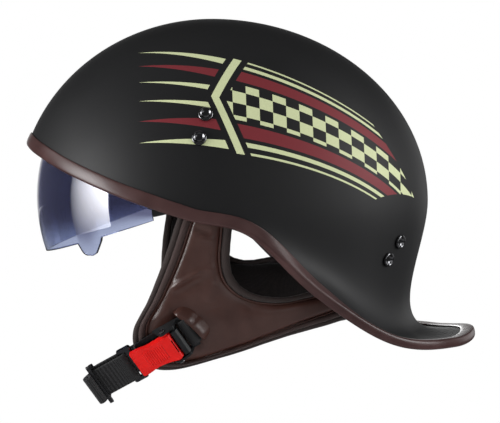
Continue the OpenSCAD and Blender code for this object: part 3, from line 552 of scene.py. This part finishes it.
def trimSection(form):
    # Distance up from the edge and height: a rounded bead whose outer leg tapers to a thin tip
    leg, soft, tip = form["leg"], form["soft"], form["gap"] + form["tip"]
    out = form["gap"] + form["thick"]
    back = -shellForm["wall"] - form["gap"]
    inside = back - form["thick"]
    outer = [(leg, form["gap"]), (leg + 0.1, mix(form["gap"], tip, 0.6)), (leg - 0.4, tip), (leg * 0.5, out)]
    bead = [(leg * 0.1, out), (-out + soft, out - 0.35), (-out + 0.15, out - 1.1), (-out, -0.8), (-out, -2.4),
            (-out + 0.2, inside + 1.1), (-out + soft, inside + 0.2), (0, inside)]
    inner = [(leg / 2, inside), (leg, inside + soft), (leg, back), (leg / 2, back)]
    slot = [(-form["gap"], back), (-form["gap"], form["gap"]), (leg / 2, form["gap"])]
    return outer + bead + inner + slot


trimPoints = trimSection(trimForm)
trimRows = len(trimPoints)
trim = laidGrid("trim", trimForm["columns"], trimRows,
                lambda u, v: rimAt(360 * u, *trimPoints[round(v * trimRows) % trimRows]))
applied(trim, "SUBSURF", levels=1, render_levels=1)
finished(trim, "helmet", trimLeather, "trim", "edge_trim", smooth=50)
print("edging made")

# Visor lens, swept round the pivot
lensForm = {
    "pivot": (-8, 3), "reach": 108, "thick": 2.2, "endReach": 33, "endOut": 94.5, "endNear": 32.4,
    "low": ((-128, -44.8), (-99, -34.7), (-33.6, -12.2), (-20, -7.5)),
    "tab": ((-81, -27.5), (-77.2, -34), (-75, -35.4), (-70.8, -35.4), (-69, -34), (-66, -26), (-65, -20)),
    "high": ((-128, 40.9), (-101.5, 40.9), (-46, 17), (-34, 3), (-31.5, 0), (-20, -2)),
    "end": ((-12.2, 35.7), (-6.8, 34.5), (-5.6, 32.1), (0, 31.5), (3, 34)),
    "endFrom": 0.6, "columns": 360, "rows": 64,
}


def lerpAt(points, x):
    # Straight lines through points given from low x to high x
    for (x0, z0), (x1, z1) in zip(points, points[1:]):
        if x <= x1:
            break
    return mix(z0, z1, min(max((x - x0) / (x1 - x0), 0), 1))


def lensAngle(reach, edge):
    # Angle round the pivot at which a point at this reach meets an edge line of the side view
    def under(deg):
        a = math.radians(deg)
        return reach * math.sin(a) < edge(-reach * math.cos(a))

    return bisected(-60, 60, 24, under)


def lensPlace(form):
    reach, endReach, endOut = form["reach"], form["endReach"], form["endOut"]
    centre = (reach ** 2 - endOut ** 2 - endReach ** 2) / (2 * (reach - endReach))
    arc = reach - centre

    def lowEdge(x, left):
        line = lerpAt(form["low"], x)
        onTab = left and form["tab"][0][0] < x < form["tab"][-1][0]
        return min(line, lerpAt(form["tab"], x)) if onTab else line

    def spread(edgeReach):
        return math.acos((edgeReach - centre) / arc)

    spans = {}

    def place(u, v):
        w = 2 * u - 1
        if u not in spans:
            r = centre + arc * math.cos(spread(form["endNear"]) * w)
            spans[u] = (r, lensAngle(r, lambda x: lowEdge(x, w < 0)),
                        lensAngle(r, lambda x: lerpAt(form["high"], x)))
        r, low, high = spans[u]
        a = math.radians(mix(low, high, v))
        end = lerpAt(form["end"], r * math.sin(a))
        share = ease((abs(w) - form["endFrom"]) / (1 - form["endFrom"]))
        psi = spread(mix(form["endNear"], end, share)) * w
        r = centre + arc * math.cos(psi)
        return form["pivot"][0] - r * math.cos(a), arc * math.sin(psi), form["pivot"][1] + r * math.sin(a)

    return place


lens = laidGrid("lens", lensForm["columns"], lensForm["rows"], lensPlace(lensForm))
if lens.data.polygons[len(lens.data.polygons) // 2].normal.x > 0:
    flipped(lens)
for mat in (smokedLens, lensEdge):
    lens.data.materials.append(mat)
applied(lens, "SOLIDIFY", thickness=lensForm["thick"] * mm, offset=-1, material_offset_rim=1)
applied(lens, "BEVEL", width=0.35 * mm, segments=2, limit_method="ANGLE", angle_limit=math.radians(60))
finished(lens, "visor", smokedLens, "lens", "visor_lens", smooth=30)
print("visor lens made")

# Neck curtain, given unrolled as distance round and height
curtainForm = {
    "flatTo": 15, "reach": 102, "half": 89.8, "lean": 0.23, "leanZero": -60,
    "curl": 0.0046, "curlFrom": -70, "quarter": 155,
    "outer": ((-25.8, -5), (-28.6, -14), (-35, -34), (-44.5, -59), (-54, -80), (-49, -99), (-30, -105),
              (5, -96), (45, -83.5), (86, -75)),
    "inner": ((8.5, -5), (7.8, -14), (6.6, -32), (9, -44), (16, -52), (25, -56), (35, -57.5),
              (46, -57), (64, -52.5), (86, -46)),
    "swing": 14, "swingAt": (-9, -5),
    "outerShares": (0, 0.15, 0.5, 0.85, 1, 1, 1, 0.8, 0.4, 0),
    "rightInner": ((8.5, -5), (8.6, -14), (9.8, -30), (15, -41), (23, -45), (31, -45.4), (39, -44),
                   (48, -42.6), (65, -42.6), (86, -46)),
    "napeOuter": ((86.25, -75), (170, -70), (253.75, -75)),
    "napeInner": ((86.25, -46), (170, -42.5), (253.75, -46)),
}


def wrapAt(s, z, h):
    # h stands out from the curtain's middle layer
    form = curtainForm
    lean = form["lean"] * (z - form["leanZero"]) - form["curl"] * max(form["curlFrom"] - z, 0) ** 2
    half, reach = form["half"] + lean + h, form["reach"] + lean + h
    if s < form["flatTo"]:
        return Vector((s, -half, z))
    b = math.radians(90 * (s - form["flatTo"]) / form["quarter"])
    return Vector((form["flatTo"] + reach * math.sin(b), -half * math.cos(b), z))


def swungBy(q, deg):
    # Turned about the cheek's post on the unrolled curtain: the right cheek hangs swung back
    post = Vector(curtainForm["swingAt"])
    return post + Matrix.Rotation(math.radians(deg), 2) @ (Vector(q) - post)


curtainParts = {
    "leftCheek": (vectors(curtainForm["outer"]), vectors(curtainForm["inner"]), 1),
    "rightCheek": ([swungBy(q, curtainForm["swing"] * share)
                    for q, share in zip(curtainForm["outer"], curtainForm["outerShares"])],
                   vectors(curtainForm["rightInner"]), -1),
    "nape": (vectors(curtainForm["napeOuter"]), vectors(curtainForm["napeInner"]), 1),
}


def acrossCurtain(part, t, p, h):
    # A place on the curtain: p is measured in from the outer edge, or from the inner edge where negative
    outer, inner, side = curtainParts[part]
    o, i = along(outer, t), along(inner, t)
    d = (i - o).normalized()
    q = o + d * p if p >= 0 else i + d * p
    return sided(wrapAt(q.x, q.y, h), side)


def curtainWidth(part, t):
    outer, inner, _ = curtainParts[part]
    return (along(inner, t) - along(outer, t)).length


hideForm = {
    "outerSeam": 9.8, "innerSeam": 7.4, "base": 0.3, "crown": 3.2, "thick": 1.4,
    # folds as start, end, height and width on the unrolled cheek
    "folds": (((-31, -51.5), (-11, -40.5), 2.3, 2.0), ((-28, -56), (-10, -45.5), -1.3, 3.0),
              ((-9, -40), (3, -37), 0.8, 2.6), ((-4, -47), (-7, -60), 0.8, 3.5),
              ((-16, -13), (-6, -17), -1.0, 2.4), ((-13, -19), (-3, -21), 0.7, 2.6),
              ((-2, -64), (6, -86), 0.9, 6), ((9, -62), (15, -84), -0.8, 6),
              ((-40, -72), (-30, -64), 0.9, 3.5), ((22, -66), (52, -64), 0.7, 5)),
    "slotMiddle": (-18.5, -79.5), "slotHalf": (6, 14), "slotTurn": 38, "slotDepth": 3.2,
}


def foldHeight(q, folds):
    total = 0
    for start, end, height, width in folds:
        a, b = Vector(start), Vector(end)
        f = min(max((q - a).dot(b - a) / (b - a).length_squared, 0), 1)
        taper = 1 - (2 * f - 1) ** 4 * 0.7
        total += height * taper * math.exp(-((q - a - (b - a) * f).length / width) ** 2)
    return total


def hidePlace(part, form):
    outer, inner, side = curtainParts[part]
    folded = form["folds"] if part != "nape" else ()
    swing = curtainForm["swing"] if part == "rightCheek" else 0

    def place(t, a):
        o, i = along(outer, t), along(inner, t)
        width = (i - o).length
        q = o + (i - o) / width * mix(form["outerSeam"], width - form["innerSeam"], a)
        flat = swungBy(q, -swing)
        h = form["base"] + form["crown"] * (1 - abs(2 * a - 1) ** 5)
        h += foldHeight(flat, folded) * (1 - abs(2 * a - 1) ** 8)
        if part != "nape":
            away = Matrix.Rotation(math.radians(-form["slotTurn"]), 2) @ (flat - Vector(form["slotMiddle"]))
            ring = math.hypot(away.x / form["slotHalf"][0], away.y / form["slotHalf"][1])
            h -= form["slotDepth"] * ease(1.35 - ring)
        return sided(wrapAt(q.x, q.y, h), side)

    return place


for part, node, columns in (("leftCheek", "left_cheek_cover", 210), ("rightCheek", "right_cheek_cover", 210),
                            ("nape", "nape_cover", 150)):
    panel = laidGrid(part + "Leather", columns, 48, hidePlace(part, hideForm))
    middle = panel.data.polygons[len(panel.data.polygons) // 2]
    if middle.normal.dot(Vector((middle.center.x if part == "nape" else 0, middle.center.y, 0))) < 0:
        flipped(panel)
    applied(panel, "SOLIDIFY", thickness=hideForm["thick"] * mm, offset=-1)
    finished(panel, "helmet", hide, "leather", node, smooth=60)
print("leather panels made")

# Leather lip over the slot that the strap comes out of
lipForm = {
    "line": ((-29, -66.3), (-20.5, -71.9), (-15, -76.9), (-8.5, -84.4)), "level": 2.2, "pinch": 0.06,
    "ripple": 0.25, "ripples": 23,
    # across the lip and height, round its section
    "section": ((9, 2.4), (6.4, 4.8), (3.6, 7.8), (1.2, 9.9), (-0.4, 10.3), (-1.4, 9.6), (-1.1, 8.5),
                (0.4, 7), (3, 2.6)),
}


def lipPlace(part, form):
    line, count = vectors(form["line"]), len(form["section"])
    swing = curtainForm["swing"] if part == "rightCheek" else 0

    def place(u, v):
        run = (along(line, min(u + 0.01, 1)) - along(line, max(u - 0.01, 0))).normalized()
        across, h = form["section"][round(v * count) % count]
        full = max(1 - abs(2 * u - 1) ** 6, form["pinch"])
        q = swungBy(along(line, u) + Vector((-run.y, run.x)) * across * full, swing)
        ripple = form["ripple"] * full * math.sin(form["ripples"] * u)
        return sided(wrapAt(q.x, q.y, mix(form["level"], h, full) + ripple), curtainParts[part][2])

    return place


for part in ("leftCheek", "rightCheek"):
    lip = capped(laidGrid(part + "SlotLip", 40, len(lipForm["section"]), lipPlace(part, lipForm)))
    applied(lip, "SUBSURF", levels=2, render_levels=2)
    finished(lip, "helmet", hide, "leather", smooth=60)
print("slot lips made")

# Rolled knit edges and piping: place from the outer edge, or below zero from the inner one, height,
# half width and half thickness; a place stays further from zero than the swollen half width
rollForms = {
    "LiningRoll": {"at": 2.6, "h": -1.2, "half": (2.5, 2.4), "mat": darkBinding, "wave": 0.03},
    "EdgeRoll": {"at": 6.3, "h": 0.9, "half": (2.3, 2.1), "mat": brownBinding, "wave": 0.04},
    "EdgePiping": {"at": 9.35, "h": 1.3, "half": (0.7, 0.8), "mat": hide, "wave": 0},
    "InnerRoll": {"at": -3.05, "h": 0.3, "half": (2.9, 2.7), "mat": darkBinding, "wave": 0.04},
    "InnerPiping": {"at": -6.85, "h": 1.3, "half": (0.7, 0.8), "mat": hide, "wave": 0},
}
rollWaves = (17, 5.3)  # swellings along a roll, and how often they come and go


def rollPlace(part, form):
    def place(t, v):
        a = math.tau * v
        swell = math.sin(math.tau * rollWaves[0] * t) * math.sin(math.tau * rollWaves[1] * t + 1)
        puff = 1 + form["wave"] * swell
        p = form["at"] + form["half"][0] * puff * math.cos(a)
        return acrossCurtain(part, t, p, form["h"] + form["half"][1] * puff * math.sin(a))

    return place


for part in curtainParts:
    for ending, form in rollForms.items():
        run = [acrossCurtain(part, k / 60, form["at"], 0) for k in range(61)]
        uvSize = (lengthOf(run) * mm, math.pi * sum(form["half"]) * mm)
        roll = capped(laidGrid(part + ending, 260, 14, rollPlace(part, form), uvSize))
        finished(roll, "helmet", form["mat"], "knit", smooth=60)
print("rolled edges made")

# Padded lining of the curtain, swollen as cloth
liningForm = {"inset": 3.6, "back": -2.2, "swell": 6.2, "thin": 0.9, "voxel": 3.2, "pressure": 4, "cap": 2.2,
              "heldAbove": -30}
headMiddle = Vector((0, 0, -20)) * mm
clothFrames = 20


def liningPlace(part, form):
    def place(t, v):
        a = math.tau * v
        width = curtainWidth(part, t)
        p = width / 2 - (width / 2 - form["inset"]) * math.cos(a)
        grown = mix(0 if part != "nape" else 1, 1, min(3 * t, 1))
        bulge = max(-math.sin(a), 0) ** 0.6
        return acrossCurtain(part, t, p, form["back"] - bulge * (form["thin"] + form["swell"] * grown))

    return place


def swollen(pad, form, held):
    # Blender's cloth with pressure inside, held where the pad is sewn down
    only(pad)
    pad.data.remesh_voxel_size = form["voxel"] * mm
    bpy.ops.object.voxel_remesh()
    start = [vert.co.copy() for vert in pad.data.vertices]
    group = pad.vertex_groups.new(name="held")
    group.add([vert.index for vert in pad.data.vertices if held(vert.co / mm)], 1.0, "REPLACE")
    cloth = pad.modifiers.new("Cloth", "CLOTH")
    cloth.settings.use_pressure = True
    cloth.settings.uniform_pressure_force = form["pressure"]
    cloth.settings.effector_weights.gravity = 0
    cloth.settings.vertex_group_mass = group.name
    cloth.collision_settings.use_collision = False
    for step in range(1, clothFrames + 1):
        bpy.context.scene.frame_set(step)
    bpy.ops.object.modifier_apply(modifier=cloth.name)
    bpy.context.scene.frame_set(1)
    for vert, old in zip(pad.data.vertices, start):
        inward = (headMiddle - old).normalized()  # so the edges stay under their rolls
        vert.co = old + inward * min(max((vert.co - old).dot(inward), 0), form["cap"] * mm)
    applied(pad, "SMOOTH", factor=0.5, iterations=8)
    return applied(pad, "SUBSURF", levels=1, render_levels=1)


for part, node in (("leftCheek", "left_cheek_pad"), ("rightCheek", "right_cheek_pad"), ("nape", "nape_pad")):
    lining = capped(laidGrid(part + "Lining", 120, 28, liningPlace(part, liningForm)))
    swollen(lining, liningForm, lambda co: co.z > liningForm["heldAbove"])
    finished(lining, "helmet", darkKnit, "knit", node, smooth=80)
print("curtain lining made")

# Comfort pads inside the liner
comfortForm = {
    "centre": 6, "half": (106, 85, 92), "gap": 0.9, "base": 1.6, "swell": 4.2, "lift": 3, "crownLow": 54,
    "liner": (44, 38, 25, 11, -1, -9, -26, -36, -40, -41),
    "pads": (("browPad", "brow_pad", -46, 46, 50), ("leftTemplePad", "left_temple_pad", 52, 112, 40),
             ("rightTemplePad", "right_temple_pad", -112, -52, 40), ("rearPad", "rear_pad", 120, 240, 38)),
    "voxel": 3, "pressure": 3, "cap": 1.2, "heldDepth": 2.2,
}


def linerIn(deg, th, d):
    a, t = math.radians(deg), math.radians(th)
    lx, ly, lz = [half - d for half in comfortForm["half"]]
    out = math.cos(t)
    return Vector((comfortForm["centre"] - lx * out * math.cos(a), -ly * out * math.sin(a), lz * math.sin(t)))


def linerLow(deg):
    return math.degrees(math.asin(around(comfortForm["liner"], deg % 360) / comfortForm["half"][2]))


def comfortPlace(start, end, top, form):
    def place(u, v):
        deg = mix(start, end, u)
        low = linerLow(deg) + form["lift"]
        f = 1 - abs(2 * v - 1)
        th = mix(low, top, f)
        edge = (1 - abs(2 * u - 1) ** 5) * (1 - abs(2 * f - 1) ** 5)
        face = form["base"] + form["swell"] * edge if v > 0.5 else 0
        return linerIn(deg, th, form["gap"] + face)

    return place


def crownPlace(u, v):
    form = comfortForm
    f = 1 - abs(2 * v - 1)
    face = form["base"] + form["swell"] * (1 - f ** 4) if v > 0.5 else 0
    return linerIn(360 * u, mix(90, form["crownLow"], f), form["gap"] + face)


def comfortHeld(co):
    form = comfortForm
    r = Vector(((co.x - form["centre"]) / form["half"][0], co.y / form["half"][1], co.z / form["half"][2]))
    return r.length > 1 - form["heldDepth"] / form["half"][2]


for name, node, start, end, top in comfortForm["pads"]:
    pad = capped(laidGrid(name, 60, 48, comfortPlace(start, end, top, comfortForm)))
    swollen(pad, comfortForm, comfortHeld)
    finished(pad, "helmet", padFabric, "comfort", node, smooth=80)
crown = laidGrid("crownPad", 72, 40, crownPlace)
swollen(crown, comfortForm, comfortHeld)
finished(crown, "helmet", padFabric, "comfort", "crown_pad", smooth=80)
smoothCopy("impact_liner", "impactLiner", "helmet", beads, "liner", smooth=35)
print("inside made")

# Webbing
strapForm = {
    "width": 19, "frontWidth": 18, "rearWidth": 13, "thick": 1.6, "under": 1, "domeAngle": 85,
    "origin": (-18, -91.2, -77.2), "slope": 32, "lean": 24, "slider": 67,
    # routes: x and z on the dome, share down the cheek, angle and height on the back, and on the curtain
    "onDome": ((-6, 65), (-10.8, 50), (-13.5, 36), (-13, 21), (-10.5, 8)),
    "onCheek": (0.02, 0.11, 0.19, 0.26, 0.33),
    "onBack": ((155, -19), (152, -27.5), (149, -36.5)),
    "onCurtain": ((98, -51, 5), (91, -55, 5), (84, -58, 5.2), (77, -60, 5.4)),
}
strapDepth = shellForm["wall"] + strapForm["under"] + strapForm["thick"] / 2


def legMatrix(form):
    # The buckle's own frame: x runs down the strap, y in towards the face, z along the webbing's width
    lean = Matrix.Rotation(math.radians(form["lean"]), 4, "X")
    slope = Matrix.Rotation(math.radians(180 - form["slope"]), 4, "Y")
    return Matrix.Translation(form["origin"]) @ lean @ slope


leg = legMatrix(strapForm)


def legPoint(x, y, z=0):
    return leg @ Vector((x, y, z))


def strip(name, count, place, length, width):
    strap = laidGrid(name, count, 10, place, (length * mm, width * mm))
    applied(strap, "SOLIDIFY", thickness=strapForm["thick"] * mm, offset=0)
    return applied(strap, "BEVEL", width=0.45 * mm, segments=2, limit_method="ANGLE",
                   angle_limit=math.radians(50))


def strapOf(name, places, facings, width, count):
    # A flat strip along a curve of places, its face turned to the facing directions
    points = [along(places, k / count) for k in range(count + 1)]

    def place(u, v):
        k = round(u * count)
        run = (points[min(k + 1, count)] - points[max(k - 1, 0)]).normalized()
        side = run.cross(along(facings, u)).normalized()
        return points[k] + side * width * (v - 0.5)

    return strip(name, count, place, lengthOf(points), width)


def strapOnShell(x, z):
    front, side, tall = [shellForm[key] - strapDepth for key in ("front", "side", "height")]
    return Vector((x, -side * math.sqrt(1 - (x / front) ** 2 - (z / tall) ** 2), z))


def cheekMid(part, t):
    outer, inner, _ = curtainParts[part]
    q = (along(outer, t) + along(inner, t)) / 2
    down = wrapAt(q.x, q.y - 0.5, 0) - wrapAt(q.x, q.y + 0.5, 0)
    back = wrapAt(q.x + 0.5, q.y, 0) - wrapAt(q.x - 0.5, q.y, 0)
    return wrapAt(q.x, q.y, -0.1), down.cross(back).normalized()


def mirrored(points, side):
    return [sided(point, side) for point in points]


for part, label, side in (("leftCheek", "left", 1), ("rightCheek", "right", -1)):
    lower = [cheekMid(part, t) for t in strapForm["onCheek"]]
    deg = strapForm["domeAngle"]
    places = [strapOnShell(*q) for q in strapForm["onDome"]] + [p for p, _ in lower]
    facings = [shellNormal(deg, shareAt(deg, z)) for _, z in strapForm["onDome"]] + [n for _, n in lower]
    strap = strapOf(label + "FrontStrap", mirrored(places, side), mirrored(facings, side),
                    strapForm["frontWidth"], 60)
    finished(strap, "helmet", webbing, "webbing", label + "_front_strap", smooth=50)
    places = [shellAt(deg, shareAt(deg, z), strapDepth) for deg, z in strapForm["onBack"]]
    places += [wrapAt(*q) for q in strapForm["onCurtain"]]
    facings = [shellNormal(deg, shareAt(deg, z)) for deg, z in strapForm["onBack"]]
    facings += [wrapAt(s, z, 1) - wrapAt(s, z, 0) for s, z, _ in strapForm["onCurtain"]]
    strap = strapOf(label + "RearStrap", mirrored(places, side), mirrored(facings, side),
                    strapForm["rearWidth"], 52)
    finished(strap, "helmet", webbing, "webbing", label + "_rear_strap", smooth=50)


def legStrap(name, path, count, width):
    # A strip that bends only in the buckle's own x and y
    points = [along(vectors(path), k / count) for k in range(count + 1)]

    def place(u, v):
        p = points[round(u * count)]
        return legPoint(p.x, p.y, width * (v - 0.5))

    return strip(name, count, place, lengthOf(points), width)


foldForm = {
    "path": ((-3.6, 5.4), (-3.1, 3.2), (-2.3, 0.8), (-1.3, -1.4), (0.2, -2.7), (1.8, -3.1), (3.4, -2.8),
             (4.6, -1), (4.6, 0.6)),
}
fold = legStrap("buckleStrap", foldForm["path"], 48, strapForm["width"])
finished(fold, "helmet", webbing, "webbing", "buckle_strap", smooth=50)

loopForm = {
    "bar": 46, "barY": -3.3, "round": 2.6, "steps": (16, 12, 8, 5, 3, 1.5), "wider": 0.8,
    # points past the slider, going in and coming out
    "into": ((1.1, -1.2), (-2, -1)), "outOf": ((-2, -5.8), (0, -5.6), (1.3, -6), (2.4, -6.9)),
    # the spare end, rolled up on itself: middle past the slider, first radius and angle, and steps
    "rollX": 3.1, "rollY": -10.1, "rollRadius": 2.5, "rollAngle": 75,
    "tighter": 0.1, "turn": 40, "rollSteps": 15,
}


def loopPath(form, slider):
    def onArc(x, y, radius, angle):
        return x + radius * math.cos(math.radians(angle)), y + radius * math.sin(math.radians(angle))

    y, r = form["barY"], form["round"]
    bend = [onArc(form["bar"], y, r, angle) for angle in range(90, 285, 15)]
    back = [(form["bar"] + step, y + r) for step in form["steps"]]
    front = [(x, y - r) for x, _ in reversed(back)]
    roll = [onArc(slider + form["rollX"], form["rollY"], form["rollRadius"] - form["tighter"] * k,
                  form["rollAngle"] - form["turn"] * k) for k in range(form["rollSteps"])]
    into, outOf = [[(slider + x, y) for x, y in form[key]] for key in ("into", "outOf")]
    return into + back + bend + front + outOf + roll


loop = legStrap("adjusterLoop", loopPath(loopForm, strapForm["slider"]), 300,
                strapForm["width"] + loopForm["wider"])
finished(loop, "tongue", webbing, "webbing", "adjuster_loop", smooth=50)

chinForm = {
    "start": ((1.4, -1.1), (2.4, 1)),  # past the slider, in the buckle's own x and y
    # shares of the run over which its face turns to the front, and from there to the right
    "toFront": 0.12, "rightFrom": 0.35, "toRight": 0.3,
    "under": ((-75, -70.3, -112.7), (-74.2, -63, -115.7), (-74.6, -44, -118.2), (-74.5, -14, -121.6),
              (-74.5, 20, -125), (-73, 48, -125), (-62, 71, -119.5), (-40, 85, -108), (-18.5, 90.4, -95.5),
              (-6.5, 90.8, -88.2), (-1.5, 89.4, -85), (1.5, 87.6, -82.6)),
}


def chinStrap(form):
    slope, lean = math.radians(strapForm["slope"]), math.radians(strapForm["lean"])
    places = [legPoint(strapForm["slider"] + x, y) for x, y in form["start"]] + vectors(form["under"])
    leftFace = Vector((0, -math.cos(lean), -math.sin(lean)))
    midFace = Vector((-math.cos(slope), 0, -math.sin(slope)))
    rightFace = Vector((0, math.cos(lean), -math.sin(lean)))
    facings = []
    for i in range(len(places)):
        f = i / len(form["under"])
        face = mix(leftFace, midFace, ease(f / form["toFront"]))
        face = mix(face, rightFace, ease((f - form["rightFrom"]) / form["toRight"]))
        facings.append(face.normalized())
    return strapOf("chinWebbing", places, facings, strapForm["width"], 140)


chin = chinStrap(chinForm)
only(chin)
bpy.ops.object.shade_smooth_by_angle(angle=math.radians(50))
chin.data.materials.append(webbing)
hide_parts("chin_webbing")
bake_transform(chin)
print("webbing made")

# Strap rivets, turned: a dished head with a rounded rim, the shank and its set end
rivetForm = {
    "spots": ((85, 57), (83, 42.5), (153, -24.5), (149, -35.5)),
    # distance from the axis and height, from the set end to the middle of the head
    "profile": ((0, -10.4), (3.1, -10.2), (3.4, -9.6), (3.4, -9.25), (2.25, -9.2), (2.25, 0.2), (4.55, 0.2),
                (4.7, 0.4), (4.7, 1.0), (4.55, 1.5), (4.2, 1.85), (3.75, 1.95), (3.3, 1.75), (2.9, 1.2),
                (2.2, 0.7), (1.2, 0.45), (0, 0.4)),
}


def turnedOn(name, deg, z, form, side):
    share = shareAt(deg, z)
    axis = shellNormal(deg, share)
    flat = axis.cross(Vector((0, 0, 1))).normalized()
    count = len(form["profile"]) - 1

    def place(u, v):
        r, h = form["profile"][round(v * count)]
        a = math.tau * u
        ring = flat * math.cos(a) + axis.cross(flat) * math.sin(a)
        return sided(shellPoint(deg, share) + axis * h + r * ring, side)

    return laidGrid(name, 48, count, place)


rivets = [turnedOn("strapRivets", deg, z, rivetForm, side)
          for deg, z in rivetForm["spots"] for side in (1, -1)]
only(rivets[0])
for rivet in rivets:
    rivet.select_set(True)
bpy.ops.object.join()
finished(cleaned(rivets[0]), "helmet", rivetMetal, "rivet", "strap_rivets", smooth=50)
print("rivets made")

# CAD pieces that keep their solids
finishes = {
    rivetMetal: ("lens_rivets", "visor_pivot_screws", "curtain_snap_studs", "curtain_snap_sockets"),
    steel: ("strap_anchor_plates", "lever_pin"),
    darkSteel: ("ratchet_tongue",),
    blackSteel: ("buckle_frame",),
    blackPlastic: ("left_visor_arm", "right_visor_arm", "left_pivot_base", "right_pivot_base",
                   "strap_slider"),
    redPlastic: ("buckle_lever",),
}
for mat, nodes in finishes.items():
    for node in nodes:
        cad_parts[node].data.materials.clear()
        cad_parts[node].data.materials.append(mat)
smoothCopy("lever_spring", "leverSpring", "helmet", steel, "steel", smooth=60)
print("CAD pieces finished")

# Floor, world and lamps
stageForm = {
    "floor": -200, "size": 3000, "pale": (0.86, 0.86, 0.87), "glow": 0.8, "fade": (0.28, 0.44),
    "level": 0.75, "dim": 0.06, "room": (0.92, 0.997), "shine": (2.2, 2.95),
    # name, place, aim, size, watts and spread
    "lamps": (
        ("sideSoftbox", (-620, -170, 27), (0, -170, 27), (405, 445), 4.1),
        ("frontSoftbox", (-900, -60, 500), (0, 0, 20), (1000, 320), 1.2),
        ("topSoftbox", (-300, 0, 1500), (0, 0, 0), (1500, 1500), 1.2),
        ("rearSoftbox", (1500, -330, 380), (0, 0, 0), (700, 1000), 12.5),
        ("nearSoftbox", (800, -1000, 0), (0, 0, 0), (900, 900), 1.6),
        ("highSoftbox", (1000, -100, 950), (40, 0, -40), (600, 300), 1.2),
        ("brimSpot", (100, 480, 37), (150, 0, -88), (150, 150), 0.018, 30),
        ("backSoftbox", (1150, 1150, 0), (0, 0, 0), (900, 900), 1.9),
    ),
    # the softbox lit from one corner: shares of its width and height, and the brightness at each
    "lopsided": "sideSoftbox", "across": (0, 0.9, 0.1, 2), "up": (0, 0.57, 0.25, 1),
}


def whiteRay(mat, glossy):
    # Rays that should see the plain white background, and how much of it shows in reflections
    path = addNode(mat, "LightPath").outputs
    seen = calc(mat, "MAXIMUM", path["Is Camera Ray"], path["Is Transmission Ray"])
    return calc(mat, "MAXIMUM", seen, calc(mat, "MULTIPLY", path["Is Glossy Ray"], glossy))


def makeFloor(form):
    bpy.ops.object.select_all(action="DESELECT")
    bpy.ops.mesh.primitive_circle_add(vertices=96, radius=form["size"] * mm, fill_type="NGON",
                                      location=(0, 0, form["floor"] * mm))
    floor = bpy.context.object
    floor.name = "floor"
    bpy.ops.object.transform_apply(location=True, rotation=False, scale=False)
    mat = newMaterial("floorPaper", form["pale"], 0.9, Specular_IOR_Level=0)
    mat.cycles.emission_sampling = "NONE"
    point = axesOf(mat, objectPoint(mat))
    square = calc(mat, "MULTIPLY_ADD", point[0], point[0], calc(mat, "MULTIPLY", point[1], point[1]))
    share = ramp(mat, calc(mat, "SQRT", square), *form["fade"], form["glow"], 1)
    shine = ramp(mat, point[1], *form["shine"], form["dim"], 1)
    glow = addNode(mat, "Emission", Color=(1, 1, 1, 1), Strength=whiteRay(mat, shine))
    blend = addNode(mat, "MixShader", Fac=calc(mat, "MULTIPLY", whiteRay(mat, 1), share))
    mat.node_tree.links.new(shaderOf(mat).outputs[0], blend.inputs[1])
    mat.node_tree.links.new(glow.outputs[0], blend.inputs[2])
    mat.node_tree.links.new(blend.outputs[0], mat.node_tree.nodes["Material Output"].inputs[0])
    floor.data.materials.append(mat)


def makeWorld(form):
    # White all round; reflections see a dim room on the side that the softboxes stand on
    world = bpy.data.worlds.new("studio")
    world.use_nodes = True
    world.cycles.sampling_method = "NONE"
    bpy.context.scene.world = world
    sky = world.node_tree.nodes["Background"]
    sky.inputs["Color"].default_value = (1, 1, 1, 1)
    side = axesOf(world, addNode(world, "TexCoord").outputs["Generated"])[1]
    room = ramp(world, side, *form["room"], form["dim"], 1)
    fill = calc(world, "MULTIPLY", addNode(world, "LightPath").outputs["Is Diffuse Ray"], form["level"])
    feed(world, sky.inputs["Strength"], calc(world, "MAXIMUM", whiteRay(world, room), fill))


def makeLamp(name, place, aim, size, watts, spread=180):
    bpy.ops.object.light_add(type="AREA", location=Vector(place) * mm)
    lamp = bpy.context.object
    lamp.name = name
    lamp.data.shape = "RECTANGLE"
    lamp.data.size, lamp.data.size_y = size[0] * mm, size[1] * mm
    lamp.data.energy = watts
    lamp.data.spread = math.radians(spread)
    lamp.visible_camera = False
    lamp.rotation_euler = (Vector(aim) - Vector(place)).to_track_quat("-Z", "Y").to_euler()
    return lamp.data


def dimAcross(lamp, form):
    # Brightest towards one upper corner
    lamp.use_nodes = True
    spot = axesOf(lamp, addNode(lamp, "NewGeometry").outputs["Parametric"])
    across = ramp(lamp, spot[0], *form["across"])
    up = ramp(lamp, spot[1], *form["up"])
    feed(lamp, lamp.node_tree.nodes["Emission"].inputs["Strength"], calc(lamp, "MULTIPLY", across, up))


makeFloor(stageForm)
makeWorld(stageForm)
for settings in stageForm["lamps"]:
    lamp = makeLamp(*settings)
    if settings[0] == stageForm["lopsided"]:
        dimAcross(lamp, stageForm)
bpy.context.scene.view_settings.view_transform = "Standard"
print("stage lit")
